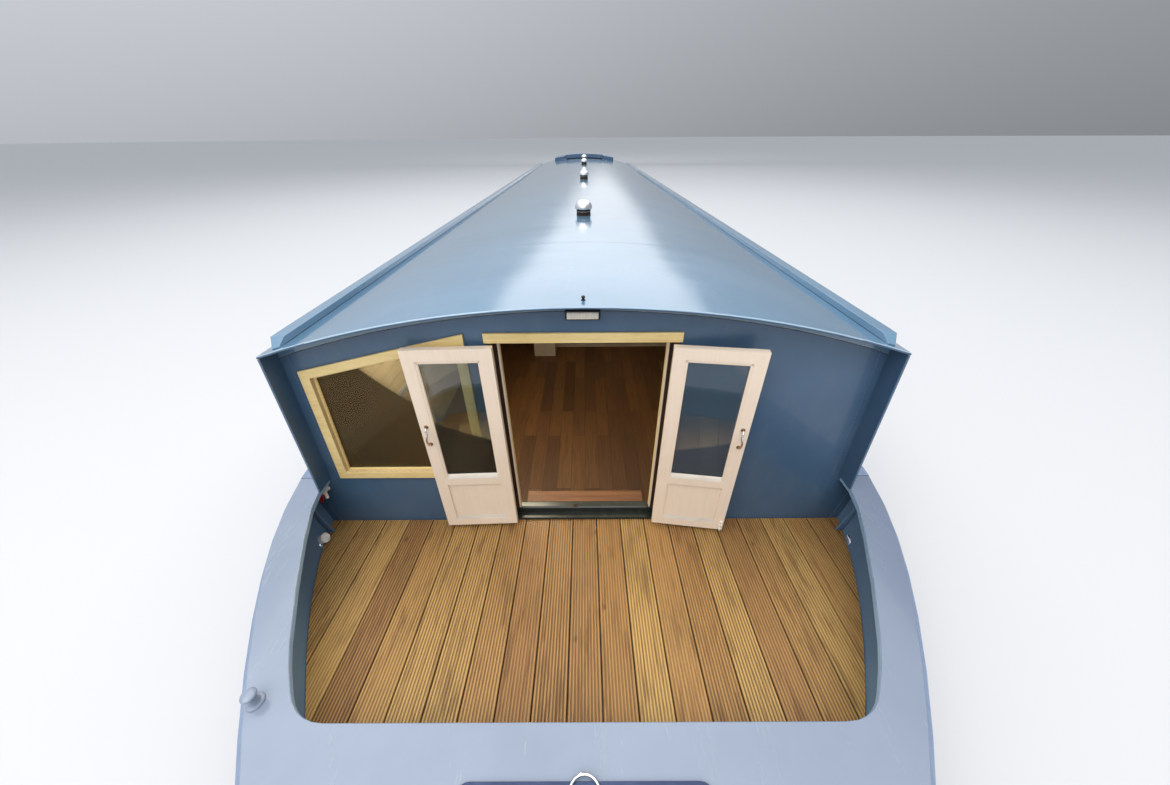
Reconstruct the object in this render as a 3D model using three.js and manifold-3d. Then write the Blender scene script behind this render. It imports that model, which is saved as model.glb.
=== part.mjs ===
// Widebeam canal boat: welded steel hull, cambered full-length roof, open bow well and small stern deck.
// Millimetres. The bow points to -Y, port is +X, +Z is up, and z = 0 is the underside of the baseplate.
import * as THREE from 'three';
import { mergeVertices } from 'three/addons/utils/BufferGeometryUtils.js';
import Module from 'manifold-3d';

const wasm = await Module();
wasm.setup();

// Joint between two pieces that touch
const GAP = 0.3;

// Lengthwise stations
const FRONT_WALL = -6074;
const AFT_WALL = 7055;
const WALL = 50;
const ROOF_FRONT = FRONT_WALL - 110;
const ROOF_AFT = AFT_WALL + 80;
const SWIM_START = 5455;
const SWIM_END = 7955;
const STERN_CURVE = 7355;
const STERN_END = 8663;

// Heights
const PLATE = 12;
const BILGE_TOP = 250;
const FLOOR_TOP = 270;
const UXTER = 560;
const AFT_FLOOR = 600;
const WELL_DECK = 800;
const GUNWALE = 1170;
const DECK_PLATE = 8;
const SHELF = 40;

// Hull half widths, and where the bow curve starts and ends ahead of the front wall
const HALF_TOP = 1685;
const HALF_BOTTOM = 1600;
const LINING = 60;
const BOW_SKIN = 12;
const BOW = { topStart: -90, topTip: 2600, bottomStart: -420, bottomTip: 2100, power: 1.58 };
const STRAKE = { proud: 24, low: 1090, high: 1135, bevel: 5 };

// Cabin section
const CABIN_FOOT = 1510;
const CABIN_HEAD = 1465;
const WING_PLATE = 10;
const SHELF_EDGE = 1440;
const ROOF_HALF = 1470;
const ROOF_CROWN = 2262;
const ROOF_RADIUS = 4867;
const ROOF_THICK = 60;
const ROOF_SKIN = 12;
const ROOF_INNER = ROOF_RADIUS - ROOF_THICK;
const RAIL = { inner: 1366, outer: 1442, height: 50, foldedEnd: 34 };

// Well: inner edge of the gunwale as distance ahead of the front wall and half width
const WELL_EDGE = [
  { ahead: 0, half: 1515 },
  { ahead: 100, half: 1512 },
  { ahead: 230, half: 1482 },
  { ahead: 420, half: 1408 },
  { ahead: 660, half: 1300 },
  { ahead: 900, half: 1180 },
  { ahead: 985, half: 1130 },
];
const WELL_FRONT = 1160;
const WELL_FRONT_HALF = 1104;
const WELL_CORNER = { radius: 200, degrees: [33, 45, 57, 68, 79, 90] };
const DECK_RISE = Math.tan(THREE.MathUtils.degToRad(3.6));
const BOARD = { pitch: 149, width: 144, thick: 28, bearer: 45 };
const STEEL_FLOOR = WELL_DECK - BOARD.thick - BOARD.bearer;

const FINISH = {
  roofBlue: { color: 0x86a2c2, roughness: 0.3, metalness: 0.1 },
  hullBlue: { color: 0x7f9cc0, roughness: 0.35, metalness: 0.1 },
  wallBlue: { color: 0x4f6c8e, roughness: 0.4, metalness: 0.1 },
  blacking: { color: 0x16181a, roughness: 0.8, metalness: 0.1 },
  navy: { color: 0x24365f, roughness: 0.5, metalness: 0.1 },
  cream: { color: 0xdccb90, roughness: 0.5, metalness: 0 },
  offWhite: { color: 0xe0d2c4, roughness: 0.45, metalness: 0 },
  decking: { color: 0xa98045, roughness: 0.75, metalness: 0 },
  oak: { color: 0x5a3820, roughness: 0.45, metalness: 0 },
  tread: { color: 0x93602f, roughness: 0.5, metalness: 0 },
  laminate: { color: 0xb9aa97, roughness: 0.5, metalness: 0 },
  sill: { color: 0x1c221f, roughness: 0.5, metalness: 0.1 },
  glass: { color: 0x9fb0b8, roughness: 0.05, metalness: 0 },
  steel: { color: 0xc9ccd0, roughness: 0.25, metalness: 0.9 },
  bronze: { color: 0xa8793c, roughness: 0.35, metalness: 0.9 },
  engine: { color: 0x3d5a45, roughness: 0.6, metalness: 0.3 },
};

// Booleans
function toSolid(geometry) {
  const bare = geometry.clone();
  bare.deleteAttribute('normal');
  bare.deleteAttribute('uv');
  const merged = mergeVertices(bare, 1e-3);
  const vertProperties = new Float32Array(merged.attributes.position.array);
  const triVerts = new Uint32Array(merged.index.array);
  return new wasm.Manifold(new wasm.Mesh({ numProp: 3, vertProperties, triVerts }));
}

function toGeometry(solid) {
  const mesh = solid.getMesh();
  const geometry = new THREE.BufferGeometry();
  geometry.setAttribute('position', new THREE.BufferAttribute(new Float32Array(mesh.vertProperties), 3));
  geometry.setIndex(new THREE.BufferAttribute(new Uint32Array(mesh.triVerts), 1));
  return geometry;
}

function join(...pieces) {
  return toGeometry(pieces.map(toSolid).reduce((whole, piece) => whole.add(piece)));
}

function cut(base, ...tools) {
  return toGeometry(tools.map(toSolid).reduce((whole, tool) => whole.subtract(tool), toSolid(base)));
}

function common(a, b) {
  return toGeometry(toSolid(a).intersect(toSolid(b)));
}

// Basic shapes
function box(x0, x1, y0, y1, z0, z1) {
  const geometry = new THREE.BoxGeometry(x1 - x0, y1 - y0, z1 - z0);
  return geometry.translate((x0 + x1) / 2, (y0 + y1) / 2, (z0 + z1) / 2);
}

function outline(points) {
  return new THREE.Shape(points.map(([a, b]) => new THREE.Vector2(a, b)));
}

// Flat outline in x and y, raised from z0 to z1
function slab(points, z0, z1) {
  const geometry = new THREE.ExtrudeGeometry(outline(points), { depth: z1 - z0, bevelEnabled: false });
  return geometry.translate(0, 0, z0);
}

// Section in x and z, run along y
function lengthwise(points, y0, y1) {
  const geometry = new THREE.ExtrudeGeometry(outline(points), { depth: y1 - y0, bevelEnabled: false });
  return geometry.rotateX(Math.PI / 2).translate(0, y1, 0);
}

// Section in y and z, run along x
function crosswise(points, x0, x1) {
  const geometry = new THREE.ExtrudeGeometry(outline(points), { depth: x1 - x0, bevelEnabled: false });
  return geometry.rotateX(Math.PI / 2).rotateZ(Math.PI / 2).translate(x0, 0, 0);
}

function turned(profile, segments, x, y, z) {
  const points = profile.map(([radius, height]) => new THREE.Vector2(radius, height));
  return new THREE.LatheGeometry(points, segments).rotateX(Math.PI / 2).translate(x, y, z);
}

// Round bar along y, and one that stands upright
function roundBar(radius, length, segments) {
  return new THREE.CylinderGeometry(radius, radius, length, segments);
}

function upright(radius, length, segments) {
  return roundBar(radius, length, segments).rotateX(Math.PI / 2);
}

// Skin through matching rings of points, closed at both ends
function loft(rings, across, up) {
  const flat = rings[0].map((point) => new THREE.Vector2(point[across], point[up]));
  const ordered = THREE.ShapeUtils.isClockWise(flat) ? rings.map((ring) => [...ring].reverse()) : rings;
  const count = ordered[0].length;
  const faces = [];
  for (let row = 0; row < ordered.length - 1; row += 1) {
    for (let column = 0; column < count; column += 1) {
      const a = row * count + column;
      const b = row * count + (column + 1) % count;
      faces.push([a, b, b + count], [a, b + count, a + count]);
    }
  }
  const cap = (ring) => THREE.ShapeUtils.triangulateShape(
    ring.map((point) => new THREE.Vector2(point[across], point[up])), []);
  const last = (ordered.length - 1) * count;
  cap(ordered[0]).forEach(([a, b, c]) => faces.push([c, b, a]));
  cap(ordered[ordered.length - 1]).forEach(([a, b, c]) => faces.push([a + last, b + last, c + last]));
  const points = ordered.flat();
  const volume = faces.reduce((sum, face) => {
    const [a, b, c] = face.map((index) => new THREE.Vector3(...points[index]));
    return sum + a.dot(b.cross(c));
  }, 0);
  const geometry = new THREE.BufferGeometry();
  geometry.setAttribute('position', new THREE.Float32BufferAttribute(points.flat(), 3));
  geometry.setIndex((volume < 0 ? faces.map(([a, b, c]) => [c, b, a]) : faces).flat());
  return geometry;
}

// Outline moved outwards by a distance, or inwards where it is negative, with sharp corners
function offset(points, distance) {
  const sign = THREE.ShapeUtils.area(points.map(([x, y]) => new THREE.Vector2(x, y))) > 0 ? 1 : -1;
  const count = points.length;
  const normal = (index) => {
    const [x0, y0] = points[index % count];
    const [x1, y1] = points[(index + 1) % count];
    const size = Math.hypot(x1 - x0, y1 - y0);
    return [(sign * (y1 - y0)) / size, (-sign * (x1 - x0)) / size];
  };
  return points.map(([x, y], index) => {
    const before = normal(index + count - 1);
    const after = normal(index);
    const spread = 1 + before[0] * after[0] + before[1] * after[1];
    return [
      x + (distance * (before[0] + after[0])) / spread,
      y + (distance * (before[1] + after[1])) / spread,
    ];
  });
}

// Rounded rectangle centred on a point
function roundedRectangle(centreA, centreB, width, height, radius, steps = 5) {
  const corners = [[1, 1, 0], [-1, 1, 90], [-1, -1, 180], [1, -1, 270]];
  return corners.flatMap(([signA, signB, start]) => Array.from({ length: steps + 1 }, (_, step) => {
    const angle = THREE.MathUtils.degToRad(start + (90 * step) / steps);
    return [
      centreA + signA * (width / 2 - radius) + radius * Math.cos(angle),
      centreB + signB * (height / 2 - radius) + radius * Math.sin(angle),
    ];
  }));
}

const mirror = (points) => points.map(([x, ...rest]) => [-x, ...rest]);
const lerp = THREE.MathUtils.lerp;

// Hull lines
// How far the plating has gone from its bottom line to its gunwale line at a height.
// From the strake up it stands upright.
function flare(z) {
  return Math.min(1, (z - PLATE) / (STRAKE.low - PLATE));
}

function curveHalf(ahead, start, tip, half) {
  const share = Math.max(0, (ahead - start) / (tip - start));
  return half * (1 - share ** BOW.power);
}

// Point of the plating, with share 0 at the front wall and 1 at the stem
function bowPoint(share, z) {
  const way = flare(z);
  const top = BOW.topTip * share;
  const bottom = BOW.bottomTip * share;
  return {
    ahead: lerp(bottom, top, way),
    half: lerp(
      curveHalf(bottom, BOW.bottomStart, BOW.bottomTip, HALF_BOTTOM),
      curveHalf(top, BOW.topStart, BOW.topTip, HALF_TOP),
      way,
    ),
  };
}

function bowHalf(ahead, z) {
  return bowPoint(ahead / lerp(BOW.bottomTip, BOW.topTip, flare(z)), z).half;
}

// Port side of the bow from the front wall to the stem, moved outwards by a distance
function bowSide(z, proud, steps = 13) {
  const side = Array.from({ length: steps + 1 }, (_, step) => {
    const share = (0.985 * step) / steps;
    const here = bowPoint(share, z);
    const next = bowPoint(share + 0.01, z);
    const run = next.ahead - here.ahead;
    const fall = here.half - next.half;
    const size = Math.hypot(run, fall);
    const ahead = step === 0 ? here.ahead : here.ahead + (proud * fall) / size;
    return [here.half + (proud * run) / size, FRONT_WALL - ahead];
  });
  const tip = bowPoint(1, z).ahead - 10 + proud;
  return { side, stem: [0, FRONT_WALL - tip] };
}

function bowRing(z, proud) {
  const { side, stem } = bowSide(z, proud);
  return [...side, stem, ...mirror(side).reverse()].map(([x, y]) => [x, y, z]);
}

// Half width of the straight hull and of the start of the bow curve behind the front wall
function midHalf(ahead, z) {
  return lerp(
    curveHalf(ahead, BOW.bottomStart, BOW.bottomTip, HALF_BOTTOM),
    curveHalf(ahead, BOW.topStart, BOW.topTip, HALF_TOP),
    flare(z),
  );
}

// Stern: rounded deck line above, narrowing swim below
const STERN_SQUARENESS = 2.6;
function sternRing(z, proud) {
  const power = 2 / STERN_SQUARENESS;
  const steps = 12;
  const half = midHalf(BOW.bottomStart, z) + proud;
  const length = STERN_END - STERN_CURVE + proud;
  const arc = Array.from({ length: steps }, (_, step) => {
    const angle = (Math.PI / 2) * (step / steps);
    return [half * Math.cos(angle) ** power, STERN_CURVE + length * Math.sin(angle) ** power];
  });
  const side = [[half, SWIM_START + GAP], ...arc];
  const middle = [0, STERN_CURVE + length];
  return [...side, middle, ...mirror(side).reverse()].map(([x, y]) => [x, y, z]);
}

const SWIM_POST = 22;
function swimSide(z) {
  const steps = 10;
  const half = midHalf(BOW.bottomStart, z);
  return Array.from({ length: steps + 1 }, (_, step) => {
    const share = step / steps;
    const y = SWIM_START + GAP + share * (SWIM_END - SWIM_START);
    return [Math.max(SWIM_POST, half * (1 - share * share) ** 1.2), y];
  });
}

function swimRing(z) {
  const side = swimSide(z);
  return [...side, ...mirror(side).reverse()].map(([x, y]) => [x, y, z]);
}

// Strakes are folded into the plating as a thicker band
const STRAKE_LEVELS = [
  { z: STRAKE.low - STRAKE.bevel, proud: 0 },
  { z: STRAKE.low, proud: STRAKE.proud },
  { z: STRAKE.high, proud: STRAKE.proud },
  { z: STRAKE.high + STRAKE.bevel, proud: 0 },
];

// Well outline: port side points from aft to the rounded front corner
function wellEdge() {
  const { radius, degrees } = WELL_CORNER;
  const arc = degrees.map((turned) => {
    const angle = THREE.MathUtils.degToRad(turned);
    const half = WELL_FRONT_HALF - radius + radius * Math.cos(angle);
    return [half, FRONT_WALL - (WELL_FRONT - radius + radius * Math.sin(angle))];
  });
  return [...WELL_EDGE.map(({ ahead, half }) => [half, FRONT_WALL - ahead]), ...arc];
}

function bothSides(side) {
  return [...side, ...mirror(side).reverse()];
}

// Space inside the bow plating from the steel floor of the well up past the gunwale
const WELL_STATIONS = [0, 150, 300, 450, 600, 800, 1000];
const ABOVE_GUNWALE = GUNWALE + 200;
function wellSpace(clearance, aft, front) {
  const outline = (z) => {
    const half = (ahead) => bowHalf(ahead, z) - BOW_SKIN - clearance;
    const stations = WELL_STATIONS.map((ahead) => [
      half(ahead),
      FRONT_WALL - Math.max(ahead, aft),
    ]);
    return bothSides([...stations, [half(front), FRONT_WALL - front]]).map(([x, y]) => [x, y, z]);
  };
  return loft([STEEL_FLOOR, STRAKE.low, ABOVE_GUNWALE].map(outline), 0, 1);
}

// Deck pieces rise slightly towards the bow so that water runs aft to the scuppers
function raisedForward(geometry) {
  const rise = new THREE.Matrix4().set(
    1, 0, 0, 0,
    0, 1, 0, 0,
    0, -DECK_RISE, 1, DECK_RISE * FRONT_WALL,
    0, 0, 0, 1,
  );
  return geometry.applyMatrix4(rise);
}

const LOCKER = { half: 355, aft: 1358, front: 1963, floor: 920, corner: 40 };
const LID = { half: 404, aft: 1311, front: 2011, thick: 11, corner: 45 };
const SCUPPER = { ahead: 150, length: 70, height: 32, above: 12 };

// Rudder stock and the skeg that carries it
const RUDDER = { y: 8285, stock: 25, clear: 31, head: 1390, bladeThick: 14 };
const SKEG = { half: 40, start: SWIM_END - 300, end: RUDDER.y + 190, top: 60 };
const CHINE = 25;

function baseplate() {
  const { side, stem } = bowSide(PLATE, CHINE);
  const swim = swimSide(PLATE).map(([x, y]) => [x + CHINE, y]);
  const aft = [[SKEG.half + 5, SWIM_END + 20], [SKEG.half + 5, SKEG.end]];
  const mid = [[HALF_BOTTOM + CHINE, FRONT_WALL - BOW.bottomStart]];
  const port = [...side.reverse(), ...mid, ...swim, ...aft];
  return slab([stem, ...port, ...mirror(port).reverse()], 0, PLATE);
}

function hullBow() {
  const levels = [{ z: PLATE + GAP, proud: 0 }, ...STRAKE_LEVELS];
  levels.push({ z: GUNWALE - DECK_PLATE - GAP, proud: 0 });
  const shell = loft(levels.map(({ z, proud }) => bowRing(z, proud)), 0, 1);
  const well = raisedForward(wellSpace(0, 0, WELL_FRONT + 30));
  const locker = box(-LOCKER.half, LOCKER.half, FRONT_WALL - LOCKER.front, FRONT_WALL - LOCKER.aft,
    LOCKER.floor, GUNWALE);
  const scuppers = box(-1700, 1700, FRONT_WALL - SCUPPER.ahead - SCUPPER.length,
    FRONT_WALL - SCUPPER.ahead, WELL_DECK + SCUPPER.above, WELL_DECK + SCUPPER.above + SCUPPER.height);
  return cut(shell, well, locker, scuppers);
}

// Section of the port hull side: plating and lining with the gunwale shelf on top
function sideSection(ahead, y) {
  const levels = [{ z: PLATE + GAP, proud: 0 }, ...STRAKE_LEVELS];
  levels.push({ z: GUNWALE, proud: 0 });
  const outer = levels.map(({ z, proud }) => [midHalf(ahead, z) + proud, y, z]);
  const inner = [GUNWALE - SHELF, STRAKE.low, PLATE + GAP].map((z) => [midHalf(ahead, z) - LINING, y, z]);
  return [...outer, [SHELF_EDGE, y, GUNWALE], [SHELF_EDGE, y, GUNWALE - SHELF], ...inner];
}

const SIDE_STATIONS = [0, -90, -200, -310, BOW.bottomStart];
const stationY = (ahead) => FRONT_WALL - ahead + (ahead === 0 ? GAP : 0);

function hullSide() {
  const rings = SIDE_STATIONS.map((ahead) => sideSection(ahead, stationY(ahead)));
  rings.push(sideSection(BOW.bottomStart, SWIM_START));
  return loft(rings, 0, 2);
}

function hullFloor() {
  const section = (ahead, y) => {
    const port = [PLATE + GAP, BILGE_TOP].map((z) => [midHalf(ahead, z) - LINING - GAP, y, z]);
    return [...port, ...mirror(port).reverse()];
  };
  const rings = SIDE_STATIONS.map((ahead) => section(ahead, stationY(ahead)));
  rings.push(section(BOW.bottomStart, SWIM_START));
  return loft(rings, 0, 2);
}

function cabinFloor() {
  const half = (ahead) => midHalf(ahead, FLOOR_TOP) - LINING - 4;
  const port = SIDE_STATIONS.map((ahead) => [half(ahead), FRONT_WALL - ahead]);
  port[0][1] = FRONT_WALL + WALL + GAP;
  port.push([half(BOW.bottomStart), SWIM_START]);
  return slab(bothSides(port), BILGE_TOP + GAP, FLOOR_TOP);
}

const ENGINE = { half: 330, front: 5805, aft: 6705, top: 1020 };
const ENGINE_BED = FLOOR_TOP - 8;
const SHAFT = { z: 330, radius: 19, clear: 19.4, boss: 42 };

function hullStern() {
  const top = [{ z: UXTER, proud: 0 }, ...STRAKE_LEVELS, { z: GUNWALE, proud: 0 }];
  const counter = loft(top.map(({ z, proud }) => sternRing(z, proud)), 0, 1);
  const swim = loft([PLATE + GAP, UXTER + 1].map(swimRing), 0, 1);
  const skeg = box(-SKEG.half, SKEG.half, SKEG.start, SKEG.end, PLATE + GAP, SKEG.top);
  const boss = roundBar(SHAFT.boss, 300, 20).translate(0, SWIM_END - 60, SHAFT.z);
  const bore = roundBar(SHAFT.clear, 160, 20).translate(0, SWIM_END + 70, SHAFT.z);
  const stock = upright(RUDDER.clear, 900, 20).translate(0, RUDDER.y, 900);
  const room = box(-HALF_TOP + LINING, HALF_TOP - LINING, SWIM_START - 10, AFT_WALL - WALL,
    AFT_FLOOR, GUNWALE - SHELF);
  const hatchway = box(-SHELF_EDGE, SHELF_EDGE, SWIM_START - 10, AFT_WALL - WALL, AFT_FLOOR, GUNWALE + 1);
  const bay = box(-450, 450, ENGINE.front - 100, ENGINE.aft + 150, ENGINE_BED, AFT_FLOOR + 1);
  return cut(join(counter, swim, skeg, boss), bore, stock, room, hatchway, bay);
}

function foredeck() {
  const { side, stem } = bowSide(GUNWALE, 0);
  const deckEdge = [...side, stem, ...mirror(side).reverse()].map(([x, y]) => [x, Math.min(y, FRONT_WALL)]);
  const plate = slab(deckEdge, GUNWALE - DECK_PLATE, GUNWALE);
  const inner = bothSides(wellEdge());
  const aft = FRONT_WALL + 200;
  const opening = inner.map(([x, y]) => [x, y >= FRONT_WALL - 1 ? aft : y]);
  const lipTop = GUNWALE - DECK_PLATE + 1;
  const lip = common(
    cut(slab(offset(opening, 11), GUNWALE - 34, lipTop), slab(opening, GUNWALE - 50, GUNWALE + 20)),
    box(-2000, 2000, FRONT_WALL - 1500, FRONT_WALL, 0, 2000),
  );
  const hatch = slab(roundedRectangle(0, FRONT_WALL - (LOCKER.aft + LOCKER.front) / 2,
    2 * LOCKER.half, LOCKER.front - LOCKER.aft, LOCKER.corner), GUNWALE - 50, GUNWALE + 20);
  return cut(join(plate, lip), slab(opening, GUNWALE - 60, GUNWALE + 20), hatch);
}

// Roof line: height of an arc about the roof's centre at a half width
function roofArc(x, radius) {
  return ROOF_CROWN - ROOF_RADIUS + Math.sqrt(radius * radius - x * x);
}

function arcPoints(half, radius, steps = 24) {
  return Array.from({ length: steps + 1 }, (_, step) => {
    const x = lerp(-half, half, step / steps);
    return [x, roofArc(x, radius)];
  });
}

function roofBand(half, outer, inner, y0, y1, steps = 24) {
  return lengthwise([...arcPoints(half, outer, steps), ...arcPoints(half, inner, steps).reverse()], y0, y1);
}

const HATCHWAY = { half: 430, front: ROOF_AFT - 880, aft: AFT_WALL - WALL };

function roof() {
  const skin = roofBand(ROOF_HALF, ROOF_RADIUS, ROOF_RADIUS - ROOF_SKIN, ROOF_FRONT, ROOF_AFT);
  const lining = roofBand(ROOF_HALF, ROOF_RADIUS - ROOF_SKIN + 1, ROOF_INNER, FRONT_WALL, AFT_WALL);
  const hatchway = box(-HATCHWAY.half, HATCHWAY.half, HATCHWAY.front, HATCHWAY.aft, 2000, 2400);
  return cut(join(skin, lining), hatchway);
}

// Port cabin side with its forward wing, and the three window openings
const WINDOWS = { width: 1100, height: 500, radius: 70, z: 1610, centres: [-4450, -900, 2650] };
const SIDE_HEAD = roofArc(CABIN_HEAD, ROOF_RADIUS);

function sideHalf(z) {
  return lerp(CABIN_FOOT, CABIN_HEAD, (z - GUNWALE) / (SIDE_HEAD - GUNWALE));
}

function sidePanel(inset, thick, y0, y1, radius) {
  const foot = GUNWALE + GAP;
  const head = (depth) => roofArc(sideHalf(roofArc(CABIN_HEAD, radius)) - depth, radius) - 3 * GAP;
  const outerHead = head(inset);
  const innerHead = head(inset + thick);
  return lengthwise([
    [sideHalf(foot) - inset, foot],
    [sideHalf(outerHead) - inset, outerHead],
    [sideHalf(innerHead) - inset - thick, innerHead],
    [sideHalf(foot) - inset - thick, foot],
  ], y0, y1);
}

function windowPrism(centre, inset) {
  const outlinePoints = roundedRectangle(centre, WINDOWS.z, WINDOWS.width - 2 * inset,
    WINDOWS.height - 2 * inset, WINDOWS.radius - inset);
  return crosswise(outlinePoints, 1300, 1700);
}

function cabinSide() {
  const panel = sidePanel(0, WALL, FRONT_WALL + GAP, AFT_WALL, ROOF_INNER);
  const wing = sidePanel(0, WING_PLATE, ROOF_FRONT, FRONT_WALL - GAP, ROOF_RADIUS - ROOF_SKIN);
  const between = sidePanel(0, WING_PLATE, FRONT_WALL - 1, FRONT_WALL + 1, ROOF_INNER);
  return cut(join(panel, wing, between), ...WINDOWS.centres.map((centre) => windowPrism(centre, 0)));
}

function sidePane(centre) {
  return common(sidePanel(14, 12, centre - 700, centre + 700, ROOF_INNER), windowPrism(centre, GAP));
}

// End wall between the cabin sides, arched under the roof
function wallAbove() {
  const foot = GUNWALE + GAP;
  const half = sideHalf(foot) - WALL - GAP;
  const head = sideHalf(roofArc(CABIN_HEAD - WALL, ROOF_INNER)) - WALL - GAP;
  return [[half, foot], ...arcPoints(head, ROOF_INNER - 0.8, 20).reverse(), [-half, foot]];
}

const DOOR = { half: 434, rough: 450, sill: WELL_DECK + 1, head: 2050, roughHead: 2068 };
const STOP = { face: FRONT_WALL + 32, reach: 29, nose: 10, groove: 12 };
const TRIM = { proud: 14, half: 464, top: 2098 };
const FRONT_WINDOW = [[-1433, 1181], [-557, 1181], [-557, 2096], [-1396, 1902]];
const WINDOW_REBATE = 24;
const WINDOW_SIGHT = 48;

function frontWall() {
  const shelfFoot = GUNWALE - SHELF - GAP;
  const low = [
    [midHalf(0, BILGE_TOP) - LINING - 1, BILGE_TOP + GAP],
    [midHalf(0, STRAKE.low) - LINING - 1, STRAKE.low],
    [midHalf(0, shelfFoot) - LINING - 1, shelfFoot],
  ];
  const edge = SHELF_EDGE - GAP;
  const panel = join(
    lengthwise([...low, ...mirror(low).reverse()], FRONT_WALL + GAP, FRONT_WALL + WALL),
    box(-edge, edge, FRONT_WALL + GAP, FRONT_WALL + WALL, shelfFoot - 1, GUNWALE + 1),
    lengthwise(wallAbove(), FRONT_WALL + GAP, FRONT_WALL + WALL),
  );
  const doorway = box(-DOOR.rough, DOOR.rough, FRONT_WALL - 10, FRONT_WALL + WALL + 10,
    DOOR.sill, DOOR.roughHead);
  const window = lengthwise(offset(FRONT_WINDOW, -WINDOW_REBATE), FRONT_WALL - 10, FRONT_WALL + WALL + 10);
  return cut(panel, doorway, window);
}

function windowFrame() {
  const sight = lengthwise(offset(FRONT_WINDOW, -WINDOW_SIGHT), FRONT_WALL - 50, FRONT_WALL + WALL + 20);
  const face = lengthwise(FRONT_WINDOW, FRONT_WALL - TRIM.proud, FRONT_WALL - GAP);
  const lining = lengthwise(offset(FRONT_WINDOW, -WINDOW_REBATE - GAP), FRONT_WALL - 5, FRONT_WALL + WALL);
  return cut(join(face, lining), sight);
}

function windowGlass() {
  return lengthwise(offset(FRONT_WINDOW, -WINDOW_SIGHT - GAP), FRONT_WALL + 20, FRONT_WALL + 28);
}

const AFT_DOOR = { half: 330, sill: 1230, head: 2160, leaf: 25 };
const AFT_PIN = { x: -334, y: AFT_WALL + 6 + GAP, radius: 6, length: 76, heights: [1330, 1690, 2050] };

function aftWall() {
  const panel = lengthwise(wallAbove(), AFT_WALL - WALL, AFT_WALL);
  return cut(panel, box(-AFT_DOOR.half, AFT_DOOR.half, AFT_WALL - WALL - 10, AFT_WALL + 10,
    AFT_DOOR.sill, AFT_DOOR.head));
}

// Front doorway: jambs with grooved stops, head lining, hinge plates, and a head trim on the wall's face
const JAMB_PLATE = { outer: 446, inner: 429.8, thick: 3, length: 74, heights: [944, 1436, 1928] };
function jambPlates() {
  const { outer, inner, thick, length, heights } = JAMB_PLATE;
  const face = FRONT_WALL - TRIM.proud;
  return heights.flatMap((height) => [[-outer, -inner], [inner, outer]].map(([x0, x1]) => (
    box(x0, x1, face - thick, face + 1, height - length / 2, height + length / 2)
  )));
}

function doorFrame() {
  const face = FRONT_WALL - TRIM.proud;
  const back = FRONT_WALL + WALL + 12;
  const head = DOOR.roughHead - GAP;
  const outer = DOOR.rough - GAP;
  const opening = box(-DOOR.half, DOOR.half, face - 10, back + 10, DOOR.sill - 10, DOOR.head);
  const lining = cut(box(-outer, outer, face, back, DOOR.sill + GAP, head), opening);
  const inner = DOOR.half - STOP.reach;
  const groove = (x0, x1) => box(x0, x1, STOP.face - 10, STOP.face + STOP.groove, DOOR.sill, DOOR.head);
  const stops = cut(
    box(-DOOR.half - 1, DOOR.half + 1, STOP.face, back, DOOR.sill + 70, DOOR.head + 1),
    box(-inner, inner, STOP.face - 10, back + 10, DOOR.sill, DOOR.head - 15),
    groove(inner + STOP.nose, DOOR.half),
    groove(-DOOR.half, -inner - STOP.nose),
  );
  const trim = box(-TRIM.half, TRIM.half, face, FRONT_WALL - GAP, DOOR.head, TRIM.top);
  return join(lining, stops, trim, ...jambPlates());
}

// Threshold with a low outer step and a higher inner one that the leaves close against
function doorSill() {
  const half = DOOR.half - GAP;
  const low = DOOR.sill + GAP + 0.4;
  const outerStep = DOOR.sill + 16;
  const innerStep = DOOR.sill + 61;
  return crosswise([
    [FRONT_WALL - 10, low],
    [FRONT_WALL + 90, low],
    [FRONT_WALL + 90, innerStep - 4],
    [FRONT_WALL + 82, innerStep],
    [FRONT_WALL + 46, innerStep],
    [FRONT_WALL + 37, innerStep - 7],
    [FRONT_WALL + 37, outerStep + 1],
    [FRONT_WALL - 6, outerStep - 1],
  ], -half, half);
}

// Front door leaves: modelled closed on the starboard side, then swung open about the pin
const LEAF = {
  inner: 4, outer: 428, low: 833, high: 2045, front: FRONT_WALL - TRIM.proud, back: FRONT_WALL + 21,
};
const PANE = { low: 1256, high: 1984, stile: 60, thick: 8 };
const LEAF_PANEL = { low: 911, high: 1181, deep: 9 };
const LEDGE_DROP = 28;
const DOOR_PIN = {
  x: 425, y: LEAF.front - 5 - GAP, radius: 5, length: 76, heights: JAMB_PLATE.heights,
};
const REST_STARBOARD = 178;
const REST_PORT = 172;

// Hinge knuckles on a pin in front of a face, each with a plate that is let into the door
const HINGE_PLATE = { thick: 3, letIn: 20 };
function knuckles(pin, face, reach) {
  const out = Math.sign(pin.y - face);
  const along = Math.sign(reach - pin.x);
  const surface = face + out * HINGE_PLATE.thick;
  const plate = (x0, y0, height) => box(Math.min(x0, reach), Math.max(x0, reach), Math.min(y0, surface),
    Math.max(y0, surface), height - pin.length / 2 + 1, height + pin.length / 2 - 1);
  return pin.heights.flatMap((height) => [
    upright(pin.radius, pin.length, 16).translate(pin.x, pin.y, height),
    plate(pin.x, face + out * GAP, height),
    plate(reach - HINGE_PLATE.letIn * along, face - out, height),
  ]);
}

// Space sunk into a leaf from one face to a bed, with a foot that slopes down to that face
const PANE_LEFT = -LEAF.outer + PANE.stile;
const PANE_RIGHT = -LEAF.inner - PANE.stile;
function sunk(face, bed, low, high) {
  const past = face + Math.sign(face - bed);
  return crosswise([
    [bed, low],
    [face, low - LEDGE_DROP],
    [past, low - LEDGE_DROP],
    [past, high],
    [bed, high],
  ], PANE_LEFT, PANE_RIGHT);
}

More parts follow.
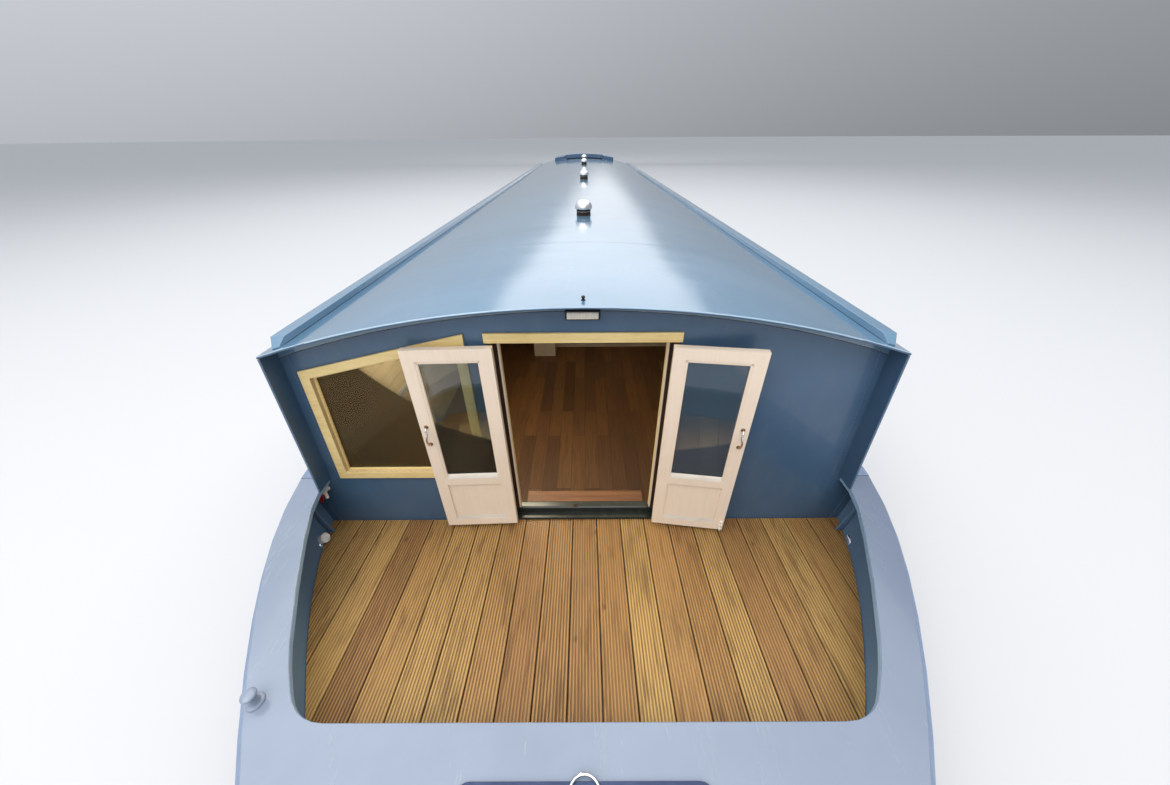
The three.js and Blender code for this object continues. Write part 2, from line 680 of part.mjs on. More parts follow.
function doorLeaf() {
  const slabLeaf = box(-LEAF.outer, -LEAF.inner, LEAF.front, LEAF.back, LEAF.low, LEAF.high);
  const paneFront = (LEAF.front + LEAF.back - PANE.thick) / 2;
  const paneBack = paneFront + PANE.thick;
  const wood = cut(
    slabLeaf,
    box(PANE_LEFT, PANE_RIGHT, paneFront - 1, paneBack + 1, PANE.low, PANE.high),
    sunk(LEAF.front, paneFront, PANE.low, PANE.high),
    sunk(LEAF.back, paneBack, PANE.low, PANE.high),
    sunk(LEAF.front, LEAF.front + LEAF_PANEL.deep, LEAF_PANEL.low, LEAF_PANEL.high),
    sunk(LEAF.back, LEAF.back - LEAF_PANEL.deep, LEAF_PANEL.low, LEAF_PANEL.high),
  );
  return join(wood, ...knuckles({ ...DOOR_PIN, x: -DOOR_PIN.x }, LEAF.front, -404));
}

function doorPane() {
  const front = (LEAF.front + LEAF.back - PANE.thick) / 2;
  return box(PANE_LEFT + GAP, PANE_RIGHT - GAP, front, front + PANE.thick,
    PANE.low + GAP, PANE.high - GAP);
}

function swing(geometry, x, y, degrees) {
  return geometry.translate(-x, -y, 0).rotateZ(THREE.MathUtils.degToRad(degrees)).translate(x, y, 0);
}

function aftLeaf() {
  const leaf = box(-AFT_DOOR.half + 6, -4, AFT_WALL - AFT_DOOR.leaf, AFT_WALL,
    AFT_DOOR.sill + 6, AFT_DOOR.head - 6);
  return join(leaf, ...knuckles(AFT_PIN, AFT_WALL, -296));
}

// Handrail along a roof edge: raised box section with sloping, inward-returned ends
function handrail() {
  const { inner, outer, height } = RAIL;
  const front = ROOF_FRONT + RAIL.foldedEnd;
  const aft = ROOF_AFT - RAIL.foldedEnd;
  const section = (y, rise, inset) => [
    [inner, y, roofArc(inner, ROOF_RADIUS) + GAP],
    [outer - inset, y, roofArc(outer - inset, ROOF_RADIUS) + GAP],
    [outer - 4 - inset, y, roofArc(outer - inset, ROOF_RADIUS) + rise],
    [inner + 4, y, roofArc(inner, ROOF_RADIUS) + rise * 0.62],
  ];
  return loft([
    section(front, 6, 34),
    section(front + 55, height, 4),
    section(front + 110, height, 0),
    section(aft - 110, height, 0),
    section(aft - 55, height, 4),
    section(aft, 6, 34),
  ], 0, 2);
}

// Vents as distances behind the front wall
const VENTS = [2140, 5590, 9320, 11494];

function vent(y) {
  return turned([
    [0, 0], [63, 0], [63, 50], [74, 50], [76, 57], [73, 76], [62, 98], [44, 113], [22, 121],
    [0, 123],
  ], 24, 0, y, ROOF_CROWN + GAP);
}

// Sliding hatch on two runners, between raised sides that flank it
const HATCH = {
  half: 560, front: ROOF_AFT - 1096, aft: ROOF_AFT + 12, low: 22.5, high: 118, skin: 12, travel: 500,
};
const COAMING = { inner: 580, outer: 880, high: 92, runnerInner: 530, runnerHigh: 22, aft: ROOF_AFT - 20 };

function hatchCoaming() {
  const seat = ROOF_RADIUS + GAP;
  const sides = roofBand(COAMING.outer + 50, ROOF_RADIUS + COAMING.high, seat, HATCH.front, COAMING.aft);
  const runners = roofBand(COAMING.outer + 50, ROOF_RADIUS + COAMING.runnerHigh, seat,
    HATCH.front - HATCH.travel - 30, COAMING.aft);
  const bar = roofBand(HATCH.half, ROOF_RADIUS + COAMING.runnerHigh, seat, HATCHWAY.front - 80,
    HATCHWAY.front - 30, 12);
  const between = (low, high) => [
    box(low, high, HATCH.front - 1000, ROOF_AFT + 100, 2000, 2500),
    box(-high, -low, HATCH.front - 1000, ROOF_AFT + 100, 2000, 2500),
  ];
  return join(
    ...between(COAMING.inner, COAMING.outer).map((side) => common(sides, side)),
    ...between(COAMING.runnerInner, COAMING.inner + 2).map((side) => common(runners, side)),
    bar,
  );
}

function slidingHatch() {
  const top = roofBand(HATCH.half, ROOF_RADIUS + HATCH.high, ROOF_RADIUS + HATCH.high - HATCH.skin,
    HATCH.front, HATCH.aft, 12);
  const core = roofBand(HATCH.half, ROOF_RADIUS + HATCH.high - 5, ROOF_RADIUS + HATCH.low,
    HATCH.front, HATCH.aft, 12);
  const hollow = box(-HATCH.half + HATCH.skin, HATCH.half - HATCH.skin, HATCH.front + HATCH.skin,
    HATCH.aft + 10, 2000, 2500);
  return join(top, cut(core, hollow));
}

function decking() {
  const boards = [];
  for (let place = -11; place <= 11; place += 1) {
    const middle = place * BOARD.pitch;
    boards.push(box(middle - BOARD.width / 2, middle + BOARD.width / 2, FRONT_WALL - 1400, FRONT_WALL - 6,
      WELL_DECK - BOARD.thick, WELL_DECK));
  }
  const bearers = [60, 560, 1080].map((ahead) => box(-1700, 1700, FRONT_WALL - ahead - BOARD.bearer,
    FRONT_WALL - ahead, STEEL_FLOOR + GAP, WELL_DECK - BOARD.thick + 1));
  return raisedForward(common(join(...boards, ...bearers), wellSpace(5, 6, WELL_FRONT + 20)));
}

// Furniture that shows through the doorway and the windows: a top that overhangs a box on the cabin floor
const STEP = { half: 437, depth: 425, top: 540, board: 28 };
const COUNTER = { inner: 620, depth: 470, top: 1165, board: 28 };
const GALLEY = { start: -410, end: 1400, aft: 3450, depth: 600, top: 1170, board: 30 };
const CUPBOARD = { start: -700, aft: 3220, depth: 830, top: 1176 };

function furniture(x0, x1, y0, y1, top, board, overhang) {
  return join(
    box(x0, x1, y0, y1, top - board, top),
    box(x0 + overhang, x1 - overhang, y0, y1 - overhang, FLOOR_TOP + GAP, top - board + 1),
  );
}

function insideStep() {
  const back = FRONT_WALL + WALL + GAP;
  return furniture(-STEP.half, STEP.half, back, back + STEP.depth, STEP.top, STEP.board, 22);
}

function windowCounter() {
  const back = FRONT_WALL + WALL + GAP;
  return furniture(-SHELF_EDGE + 6, -COUNTER.inner, back, back + COUNTER.depth, COUNTER.top,
    COUNTER.board, 20);
}

function galleyUnit() {
  const { start, end, top, board } = GALLEY;
  const front = FRONT_WALL + GALLEY.aft;
  const back = front + GALLEY.depth;
  const plinthTop = FLOOR_TOP + 100;
  const cupboardFront = FRONT_WALL + CUPBOARD.aft;
  return join(
    box(CUPBOARD.start, start + 1, cupboardFront, cupboardFront + CUPBOARD.depth, FLOOR_TOP + GAP,
      CUPBOARD.top),
    box(start, end, front + 50, back, FLOOR_TOP + GAP, plinthTop + 1),
    box(start, end, front, back, plinthTop, top - board),
    box(start, end, front - 20, back, top - board - 1, top),
  );
}

function lockerLid() {
  const middle = FRONT_WALL - (LID.aft + LID.front) / 2;
  const length = LID.front - LID.aft;
  return slab(roundedRectangle(0, middle, 2 * LID.half, length, LID.corner), GUNWALE + GAP,
    GUNWALE + LID.thick);
}

const DOLLIES = [
  { name: 'bow_dolly', x: -1177, y: FRONT_WALL - 1100 },
  { name: 'stern_dolly_port', x: 1180, y: 8130 },
  { name: 'stern_dolly_starboard', x: -1180, y: 8130 },
];

function mooringDolly(x, y) {
  return turned([
    [0, 0], [31, 0], [31, 5], [18, 8], [16, 41], [24, 47], [26, 55], [21, 62], [0, 65],
  ], 20, x, y, GUNWALE + GAP);
}

function engineBlock() {
  return box(-ENGINE.half, ENGINE.half, ENGINE.front, ENGINE.aft, ENGINE_BED + GAP, ENGINE.top);
}

// Rudder: blade, stock through the counter, and a swan-neck tiller that runs forward over the stern deck
function rudder() {
  const fore = RUDDER.y - 80;
  const rear = RUDDER.y + 330;
  const blade = crosswise([
    [fore, 80], [rear - 40, 80], [rear, 180], [rear, 470], [rear - 40, 530], [fore, 530],
  ], -RUDDER.bladeThick / 2, RUDDER.bladeThick / 2);
  const foot = SKEG.top + GAP;
  const stock = upright(RUDDER.stock, RUDDER.head - foot, 20)
    .translate(0, RUDDER.y, (RUDDER.head + foot) / 2);
  const at = (ahead, z) => new THREE.Vector3(0, RUDDER.y - ahead, z);
  const path = new THREE.CurvePath();
  path.add(new THREE.CubicBezierCurve3(at(0, RUDDER.head - 20), at(0, 1700), at(50, 1880), at(330, 1900)));
  path.add(new THREE.LineCurve3(at(330, 1900), at(790, 1933)));
  const ring = new THREE.Shape().absarc(0, 0, 20, 0, 2 * Math.PI, false);
  const neck = new THREE.ExtrudeGeometry(ring, {
    steps: 14, extrudePath: path, bevelEnabled: false, curveSegments: 8,
  });
  const collar = upright(45, 34, 20).translate(0, RUDDER.y, GUNWALE + GAP + 17);
  return join(blade, stock, collar, neck);
}

// Propeller with four twisted blades and its stub of shaft
function propeller() {
  const hub = turned([[0, 0], [30, 0], [38, 20], [38, 90], [24, 120], [0, 128]], 20, 0, 0, 0)
    .rotateX(-Math.PI / 2).translate(0, SWIM_END + 110, SHAFT.z);
  const shaft = roundBar(SHAFT.radius, 150, 20).translate(0, SWIM_END + 80, SHAFT.z);
  const stations = [
    { radius: 26, chord: 92, thick: 16, pitch: 62 },
    { radius: 90, chord: 150, thick: 12, pitch: 42 },
    { radius: 150, chord: 160, thick: 9, pitch: 30 },
    { radius: 198, chord: 84, thick: 6, pitch: 24 },
  ];
  const rings = stations.map(({ radius, chord, thick, pitch }) => {
    const angle = THREE.MathUtils.degToRad(pitch);
    const corners = [[-0.5, 0], [-0.2, 0.5], [0.2, 0.5], [0.5, 0], [0.2, -0.5], [-0.2, -0.5]];
    return corners.map(([along, across]) => {
      const a = along * chord;
      const b = across * thick;
      return [a * Math.cos(angle) - b * Math.sin(angle), a * Math.sin(angle) + b * Math.cos(angle), radius];
    });
  });
  const blades = [0, 90, 180, 270].map((degrees) => loft(rings, 0, 1)
    .rotateY(THREE.MathUtils.degToRad(degrees)).translate(0, SWIM_END + 165, SHAFT.z));
  return join(hub, shaft, ...blades);
}

const boat = new THREE.Group();

function add(name, geometry, finish) {
  const plain = geometry.index ? geometry : mergeVertices(geometry, 1e-3);
  const mesh = new THREE.Mesh(plain, new THREE.MeshStandardMaterial({ ...FINISH[finish] }));
  mesh.name = name;
  boat.add(mesh);
}

// The same piece on the starboard side
function toStarboard(geometry) {
  return toGeometry(toSolid(geometry).mirror([1, 0, 0]));
}

add('baseplate', baseplate(), 'blacking');
add('hull_bow', hullBow(), 'hullBlue');
add('hull_floor', hullFloor(), 'blacking');
add('hull_side_port', hullSide(), 'hullBlue');
add('hull_side_starboard', toStarboard(hullSide()), 'hullBlue');
add('hull_stern', hullStern(), 'hullBlue');
add('foredeck', foredeck(), 'roofBlue');
add('cabin_side_port', cabinSide(), 'wallBlue');
add('cabin_side_starboard', toStarboard(cabinSide()), 'wallBlue');
WINDOWS.centres.forEach((centre, index) => {
  add(`side_glass_port_${index + 1}`, sidePane(centre), 'glass');
  add(`side_glass_starboard_${index + 1}`, toStarboard(sidePane(centre)), 'glass');
});
add('front_bulkhead', frontWall(), 'wallBlue');
add('aft_bulkhead', aftWall(), 'wallBlue');
add('roof', roof(), 'roofBlue');
add('handrail_port', handrail(), 'roofBlue');
add('handrail_starboard', toStarboard(handrail()), 'roofBlue');
add('door_frame', doorFrame(), 'cream');
add('door_threshold', doorSill(), 'sill');
add('front_door_starboard', swing(doorLeaf(), -DOOR_PIN.x, DOOR_PIN.y, -REST_STARBOARD), 'offWhite');
add('door_glass_starboard', swing(doorPane(), -DOOR_PIN.x, DOOR_PIN.y, -REST_STARBOARD), 'glass');
add('front_door_port', swing(toStarboard(doorLeaf()), DOOR_PIN.x, DOOR_PIN.y, REST_PORT), 'offWhite');
add('door_glass_port', swing(toStarboard(doorPane()), DOOR_PIN.x, DOOR_PIN.y, REST_PORT), 'glass');
add('window_frame', windowFrame(), 'cream');
add('window_glass', windowGlass(), 'glass');
VENTS.forEach((behind, index) => add(`roof_vent_${index + 1}`, vent(FRONT_WALL + behind), 'steel'));
add('hatch_coaming', hatchCoaming(), 'wallBlue');
add('sliding_hatch', slidingHatch(), 'navy');
add('aft_door_starboard', aftLeaf(), 'wallBlue');
add('aft_door_port', toStarboard(aftLeaf()), 'wallBlue');
add('cabin_floor', cabinFloor(), 'oak');
add('inside_step', insideStep(), 'tread');
add('window_counter', windowCounter(), 'tread');
add('galley_unit', galleyUnit(), 'laminate');
add('rudder', rudder(), 'blacking');
add('propeller', propeller(), 'bronze');
DOLLIES.forEach(({ name, x, y }) => add(name, mooringDolly(x, y), 'hullBlue'));
add('locker_lid', lockerLid(), 'navy');
add('decking', decking(), 'decking');
add('engine_block', engineBlock(), 'engine');

export default boat;
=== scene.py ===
"""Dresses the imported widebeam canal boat: finishes, joinery, decking, fittings, camera and studio.

Metres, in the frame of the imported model: the bow points along -Y, port is +X, and z = 0 is the
underside of the baseplate. The studio floor lies at the waterline, with the hull standing through it.
"""
from __future__ import annotations

import logging
import math
from collections.abc import Callable, Sequence
from dataclasses import dataclass
from enum import Enum

import bpy
from bpy.types import Material, Node, NodeSocket, NodeTree, Object
from mathutils import Matrix, Vector


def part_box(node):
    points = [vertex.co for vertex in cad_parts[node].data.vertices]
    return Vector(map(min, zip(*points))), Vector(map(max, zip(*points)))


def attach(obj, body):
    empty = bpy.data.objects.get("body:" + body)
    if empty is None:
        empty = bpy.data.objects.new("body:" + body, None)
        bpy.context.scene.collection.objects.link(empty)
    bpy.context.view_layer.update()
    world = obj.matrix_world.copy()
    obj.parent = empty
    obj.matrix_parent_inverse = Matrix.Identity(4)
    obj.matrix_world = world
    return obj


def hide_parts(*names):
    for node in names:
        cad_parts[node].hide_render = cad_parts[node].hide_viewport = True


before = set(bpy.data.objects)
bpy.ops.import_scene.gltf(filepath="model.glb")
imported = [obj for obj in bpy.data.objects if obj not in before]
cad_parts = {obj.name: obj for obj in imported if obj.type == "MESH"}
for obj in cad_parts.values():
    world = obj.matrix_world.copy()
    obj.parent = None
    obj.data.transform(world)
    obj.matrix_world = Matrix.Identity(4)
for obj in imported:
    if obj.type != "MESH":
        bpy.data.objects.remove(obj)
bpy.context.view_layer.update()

log = logging.getLogger("widebeam")

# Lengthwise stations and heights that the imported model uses
FRONT_WALL = -6.074
AFT_WALL = 7.055
ROOF_FRONT = -6.184
GUNWALE = 1.170
WELL_DECK = 0.800
WATERLINE = 0.520
BLACK_TOP = 0.600
ROOF_CROWN = 2.262
DECK_RISE = math.radians(3.6)
BOARD_PITCH = 0.149
GROOVE_PITCH = 0.0145
# What is bolted to a plate stands this far off it
SEAT_GAP = 0.0003


class Body(Enum):
    """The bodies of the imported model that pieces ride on."""

    BOAT = "boat"
    LEAF_STARBOARD = "front_door_starboard_leaf"
    LEAF_PORT = "front_door_port_leaf"
    AFT_STARBOARD = "aft_door_starboard_leaf"
    AFT_PORT = "aft_door_port_leaf"
    HATCH = "hatch"
    LID = "lid"
    RUDDER = "rudder_and_tiller"
    SCREW = "screw"


class Axis(Enum):
    """The direction that a section is run along."""

    X = 0
    Y = 1
    Z = 2


class Grain(Enum):
    """How far a wood pattern is drawn out along each axis, for the direction that the grain runs."""

    ACROSS = (0.06, 1.0, 1.0)
    LENGTHWISE = (1.0, 0.06, 1.0)
    UPRIGHT = (1.0, 1.0, 0.06)


# Materials


def linear(code: str) -> tuple[float, float, float, float]:
    """Turns an sRGB colour to linear light.

    Args:
        code: the colour as six hex digits after a hash.

    Returns:
        Red, green, blue and alpha.
    """
    shares = [int(code[start : start + 2], 16) / 255 for start in (1, 3, 5)]
    red, green, blue = (s / 12.92 if s <= 0.04045 else ((s + 0.055) / 1.055) ** 2.4 for s in shares)
    return red, green, blue, 1.0


def add(tree: NodeTree, kind: str, settings: dict | None = None, links: dict | None = None) -> Node:
    """Adds one node with its settings and links.

    Args:
        tree: the tree that the node goes into.
        kind: the node's type, without its first word.
        settings: values by the name of a property, or by the name or number of an input.
        links: sources by the name or number of an input, each a socket, or a node for its first live output.

    Returns:
        The new node.
    """
    node = tree.nodes.new("ShaderNode" + kind)
    for key, value in (settings or {}).items():
        if key == "stops":
            ramp = node.color_ramp
            while len(ramp.elements) < len(value):
                ramp.elements.new(0.5)
            for element, (place, colour) in zip(ramp.elements, value):
                element.position = place
                element.color = colour
        elif isinstance(key, str) and hasattr(node, key):
            setattr(node, key, value)
        else:
            node.inputs[key].default_value = value
    for key, source in (links or {}).items():
        if isinstance(source, Node):
            source = next(output for output in source.outputs if output.enabled)
        tree.links.new(source, node.inputs[key])
    return node


@dataclass(frozen=True)
class Finish:
    """A surface finish and the material that shows it."""

    name: str

    def mix(self, tree: NodeTree, shader: Node, place: NodeSocket) -> None:
        """Sets the shader up for this finish.

        Args:
            tree: the material's tree.
            shader: its Principled shader.
            place: the position on the piece, in metres.
        """
        raise NotImplementedError

    @staticmethod
    def show(
        tree: NodeTree, shader: Node, colour: NodeSocket, relief: Node, roughness: float | Node
    ) -> None:
        """Gives the shader its colour, relief and roughness.

        Args:
            tree: the material's tree.
            shader: its Principled shader.
            colour: the base colour.
            relief: the last bump.
            roughness: a number, or the node that works it out.
        """
        tree.links.new(colour, shader.inputs["Base Color"])
        tree.links.new(relief.outputs[0], shader.inputs["Normal"])
        if isinstance(roughness, Node):
            tree.links.new(roughness.outputs[0], shader.inputs["Roughness"])
        else:
            shader.inputs["Roughness"].default_value = roughness

    def material(self) -> Material:
        """Makes the material once, and returns the same one after that."""
        made = bpy.data.materials.get(self.name)
        if made:
            return made
        made = bpy.data.materials.new(self.name)
        made.use_nodes = True
        tree = made.node_tree
        tree.nodes.clear()
        shader = add(tree, "BsdfPrincipled")
        add(tree, "OutputMaterial", links={"Surface": shader})
        place = add(tree, "TexCoord").outputs["Object"]
        self.mix(tree, shader, place)
        return made


@dataclass(frozen=True)
class Enamel(Finish):
    """Brushed marine enamel on steel plate: glossy, a little uneven, faded in patches and dusty.

    The plate is not quite flat between its frames, so reflections wander. The port side of the
    foredeck is darker, because less of the pale sky reaches it, and the hull is black low down.
    """

    colour: str
    faded: str
    roughness: float = 0.2
    coat: float = 0.5
    ripple: float = 0.004
    boot: bool = False
    welds: float = 0.0
    scuffs: float = 0.0
    port_shade: float = 0.0

    def mix(self, tree: NodeTree, shader: Node, place: NodeSocket) -> None:
        """Mixes fading, dust, scuffs and the black band low down, with ripples and brush marks as bump."""
        patches = add(tree, "TexNoise", {"Scale": 1.7, "Detail": 5.0, "Roughness": 0.6}, {"Vector": place})
        spread = add(tree, "MapRange", {"From Min": 0.32, "From Max": 0.72}, {"Value": patches})
        paint = add(
            tree, "Mix", {"data_type": "RGBA", 6: linear(self.colour), 7: linear(self.faded)}, {0: spread}
        )
        streaked = add(tree, "Mapping", {"Scale": (7.0, 1.1, 2.0)}, {"Vector": place})
        dust = add(tree, "TexNoise", {"Scale": 1.4, "Detail": 8.0, "Roughness": 0.72}, {"Vector": streaked})
        film = add(tree, "MapRange", {"From Min": 0.5, "From Max": 0.85, "To Max": 0.07}, {"Value": dust})
        colour = add(tree, "Mix", {"data_type": "RGBA", 7: linear("#b8b4a6")}, {0: film, 6: paint})
        gloss = add(
            tree,
            "MapRange",
            {
                "From Min": 0.3,
                "From Max": 0.75,
                "To Min": self.roughness * 0.85,
                "To Max": self.roughness * 1.3,
            },
            {"Value": dust},
        )
        if self.scuffs:
            thin = add(
                tree,
                "Mapping",
                {"Rotation": (0.2, 0.4, 0.9), "Scale": (46.0, 9.0, 30.0)},
                {"Vector": place},
            )
            lines = add(tree, "TexNoise", {"Scale": 1.6, "Detail": 3.0, "Distortion": 0.6}, {"Vector": thin})
            worn = add(tree, "TexNoise", {"Scale": 2.6, "Detail": 2.0}, {"Vector": place})
            where = add(tree, "MapRange", {"From Min": 0.58, "From Max": 0.70}, {"Value": worn})
            marks = add(
                tree,
                "MapRange",
                {"From Min": 0.7, "From Max": 0.76, "To Max": self.scuffs},
                {"Value": lines},
            )
            share = add(tree, "Math", {"operation": "MULTIPLY"}, {0: marks, 1: where})
            colour = add(tree, "Mix", {"data_type": "RGBA", 7: linear("#dfe6ee")}, {0: share, 6: colour})
        # Painted shade: the colour darkens towards port
        if self.port_shade:
            side = add(tree, "SeparateXYZ", links={"Vector": place}).outputs["X"]
            less = add(
                tree,
                "MapRange",
                {"From Min": 0.2, "From Max": 1.7, "To Max": self.port_shade},
                {"Value": side},
            )
            colour = add(tree, "Mix", {"data_type": "RGBA", 7: linear("#3f4f6b")}, {0: less, 6: colour})
        if self.boot:
            spots = add(tree, "TexNoise", {"Scale": 9.0, "Detail": 4.0}, {"Vector": place})
            height = add(tree, "SeparateXYZ", links={"Vector": place}).outputs["Z"]
            edge = add(tree, "Math", {"operation": "MULTIPLY_ADD", 1: 0.016}, {0: spots, 2: height})
            below = add(
                tree, "MapRange", {"From Min": BLACK_TOP + 0.006, "From Max": BLACK_TOP}, {"Value": edge}
            )
            colour = add(tree, "Mix", {"data_type": "RGBA", 7: linear("#17181a")}, {0: below, 6: colour})
            gloss = add(tree, "Mix", {"data_type": "FLOAT", 3: 0.62}, {0: below, 2: gloss})
        shader.inputs["Coat Weight"].default_value = self.coat
        shader.inputs["Coat Roughness"].default_value = 0.07
        wide = add(tree, "Mapping", {"Scale": (0.7, 2.4, 1.6)}, {"Vector": place})
        plate = add(tree, "TexNoise", {"Scale": 1.0, "Detail": 1.5}, {"Vector": wide})
        wave = add(tree, "Bump", {"Strength": 1.0, "Distance": self.ripple * 6}, {"Height": plate})
        if self.welds:
            along = add(tree, "SeparateXYZ", links={"Vector": place}).outputs["Y"]
            near = add(tree, "Math", {"operation": "PINGPONG", 1: self.welds / 2}, {0: along})
            bead = add(tree, "MapRange", {"From Min": 0.007, "From Max": 0.0}, {"Value": near})
            wave = add(tree, "Bump", {"Distance": 0.0015}, {"Height": bead, "Normal": wave})
        # Brush marks and grit are drawn a few times coarser than real, so that they show
        grit = add(tree, "TexNoise", {"Scale": 160.0, "Detail": 3.0}, {"Vector": place})
        fine = add(tree, "Bump", {"Strength": 0.2, "Distance": 0.0005}, {"Height": grit, "Normal": wave})
        self.show(tree, shader, colour.outputs[2], fine, gloss)


@dataclass(frozen=True)
class Bitumen(Finish):
    """Bitumen blacking: matt, mottled, with browner scum and rust where it has rubbed."""

    def mix(self, tree: NodeTree, shader: Node, place: NodeSocket) -> None:
        """Mixes black with brown spots over a lumpy coat."""
        spots = add(tree, "TexNoise", {"Scale": 7.0, "Detail": 9.0, "Roughness": 0.7}, {"Vector": place})
        colour = add(
            tree,
            "ValToRGB",
            {"stops": [(0.42, linear("#141517")), (0.62, linear("#25231f")), (0.74, linear("#4a2f1c"))]},
            {"Fac": spots},
        )
        lumps = add(tree, "TexNoise", {"Scale": 60.0, "Detail": 4.0}, {"Vector": place})
        bump = add(tree, "Bump", {"Strength": 0.5, "Distance": 0.002}, {"Height": lumps})
        self.show(tree, shader, colour.outputs[0], bump, 0.6)


@dataclass(frozen=True)
class NonSlip(Finish):
    """Gritted deck paint: satin, with sharp grains of about 1 mm, drawn at 3 mm."""

    colour: str
    faded: str

    def mix(self, tree: NodeTree, shader: Node, place: NodeSocket) -> None:
        """Mixes worn paint over a grainy bump."""
        worn = add(tree, "TexNoise", {"Scale": 11.0, "Detail": 7.0}, {"Vector": place})
        spread = add(tree, "MapRange", {"From Min": 0.45, "From Max": 0.7}, {"Value": worn})
        colour = add(
            tree, "Mix", {"data_type": "RGBA", 6: linear(self.colour), 7: linear(self.faded)}, {0: spread}
        )
        grains = add(tree, "TexVoronoi", {"Scale": 320.0}, {"Vector": place})
        bump = add(tree, "Bump", {"Strength": 0.7, "Distance": 0.0012}, {"Height": grains})
        self.show(tree, shader, colour.outputs[2], bump, 0.48)


@dataclass(frozen=True)
class PaintedWood(Finish):
    """Satin paint brushed on joinery: the grain telegraphs through, and handled edges are greyer."""

    colour: str
    shade: str
    grain: Grain
    roughness: float = 0.42
    relief: float = 0.45

    def mix(self, tree: NodeTree, shader: Node, place: NodeSocket) -> None:
        """Mixes brushed streaks and grime over the drawn-out grain."""
        drawn = add(tree, "Mapping", {"Scale": tuple(3.0 * s for s in self.grain.value)}, {"Vector": place})
        streaks = add(tree, "TexNoise", {"Scale": 26.0, "Detail": 6.0, "Roughness": 0.62}, {"Vector": drawn})
        grime = add(tree, "TexNoise", {"Scale": 4.5, "Detail": 8.0, "Roughness": 0.7}, {"Vector": place})
        both = add(tree, "Math", {"operation": "MULTIPLY"}, {0: streaks, 1: grime})
        spread = add(tree, "MapRange", {"From Min": 0.18, "From Max": 0.4}, {"Value": both})
        colour = add(
            tree, "Mix", {"data_type": "RGBA", 6: linear(self.colour), 7: linear(self.shade)}, {0: spread}
        )
        gloss = add(
            tree,
            "MapRange",
            {"To Min": self.roughness * 0.8, "To Max": self.roughness * 1.35},
            {"Value": grime},
        )
        bump = add(tree, "Bump", {"Strength": self.relief, "Distance": 0.0012}, {"Height": streaks})
        self.show(tree, shader, colour.outputs[2], bump, gloss)


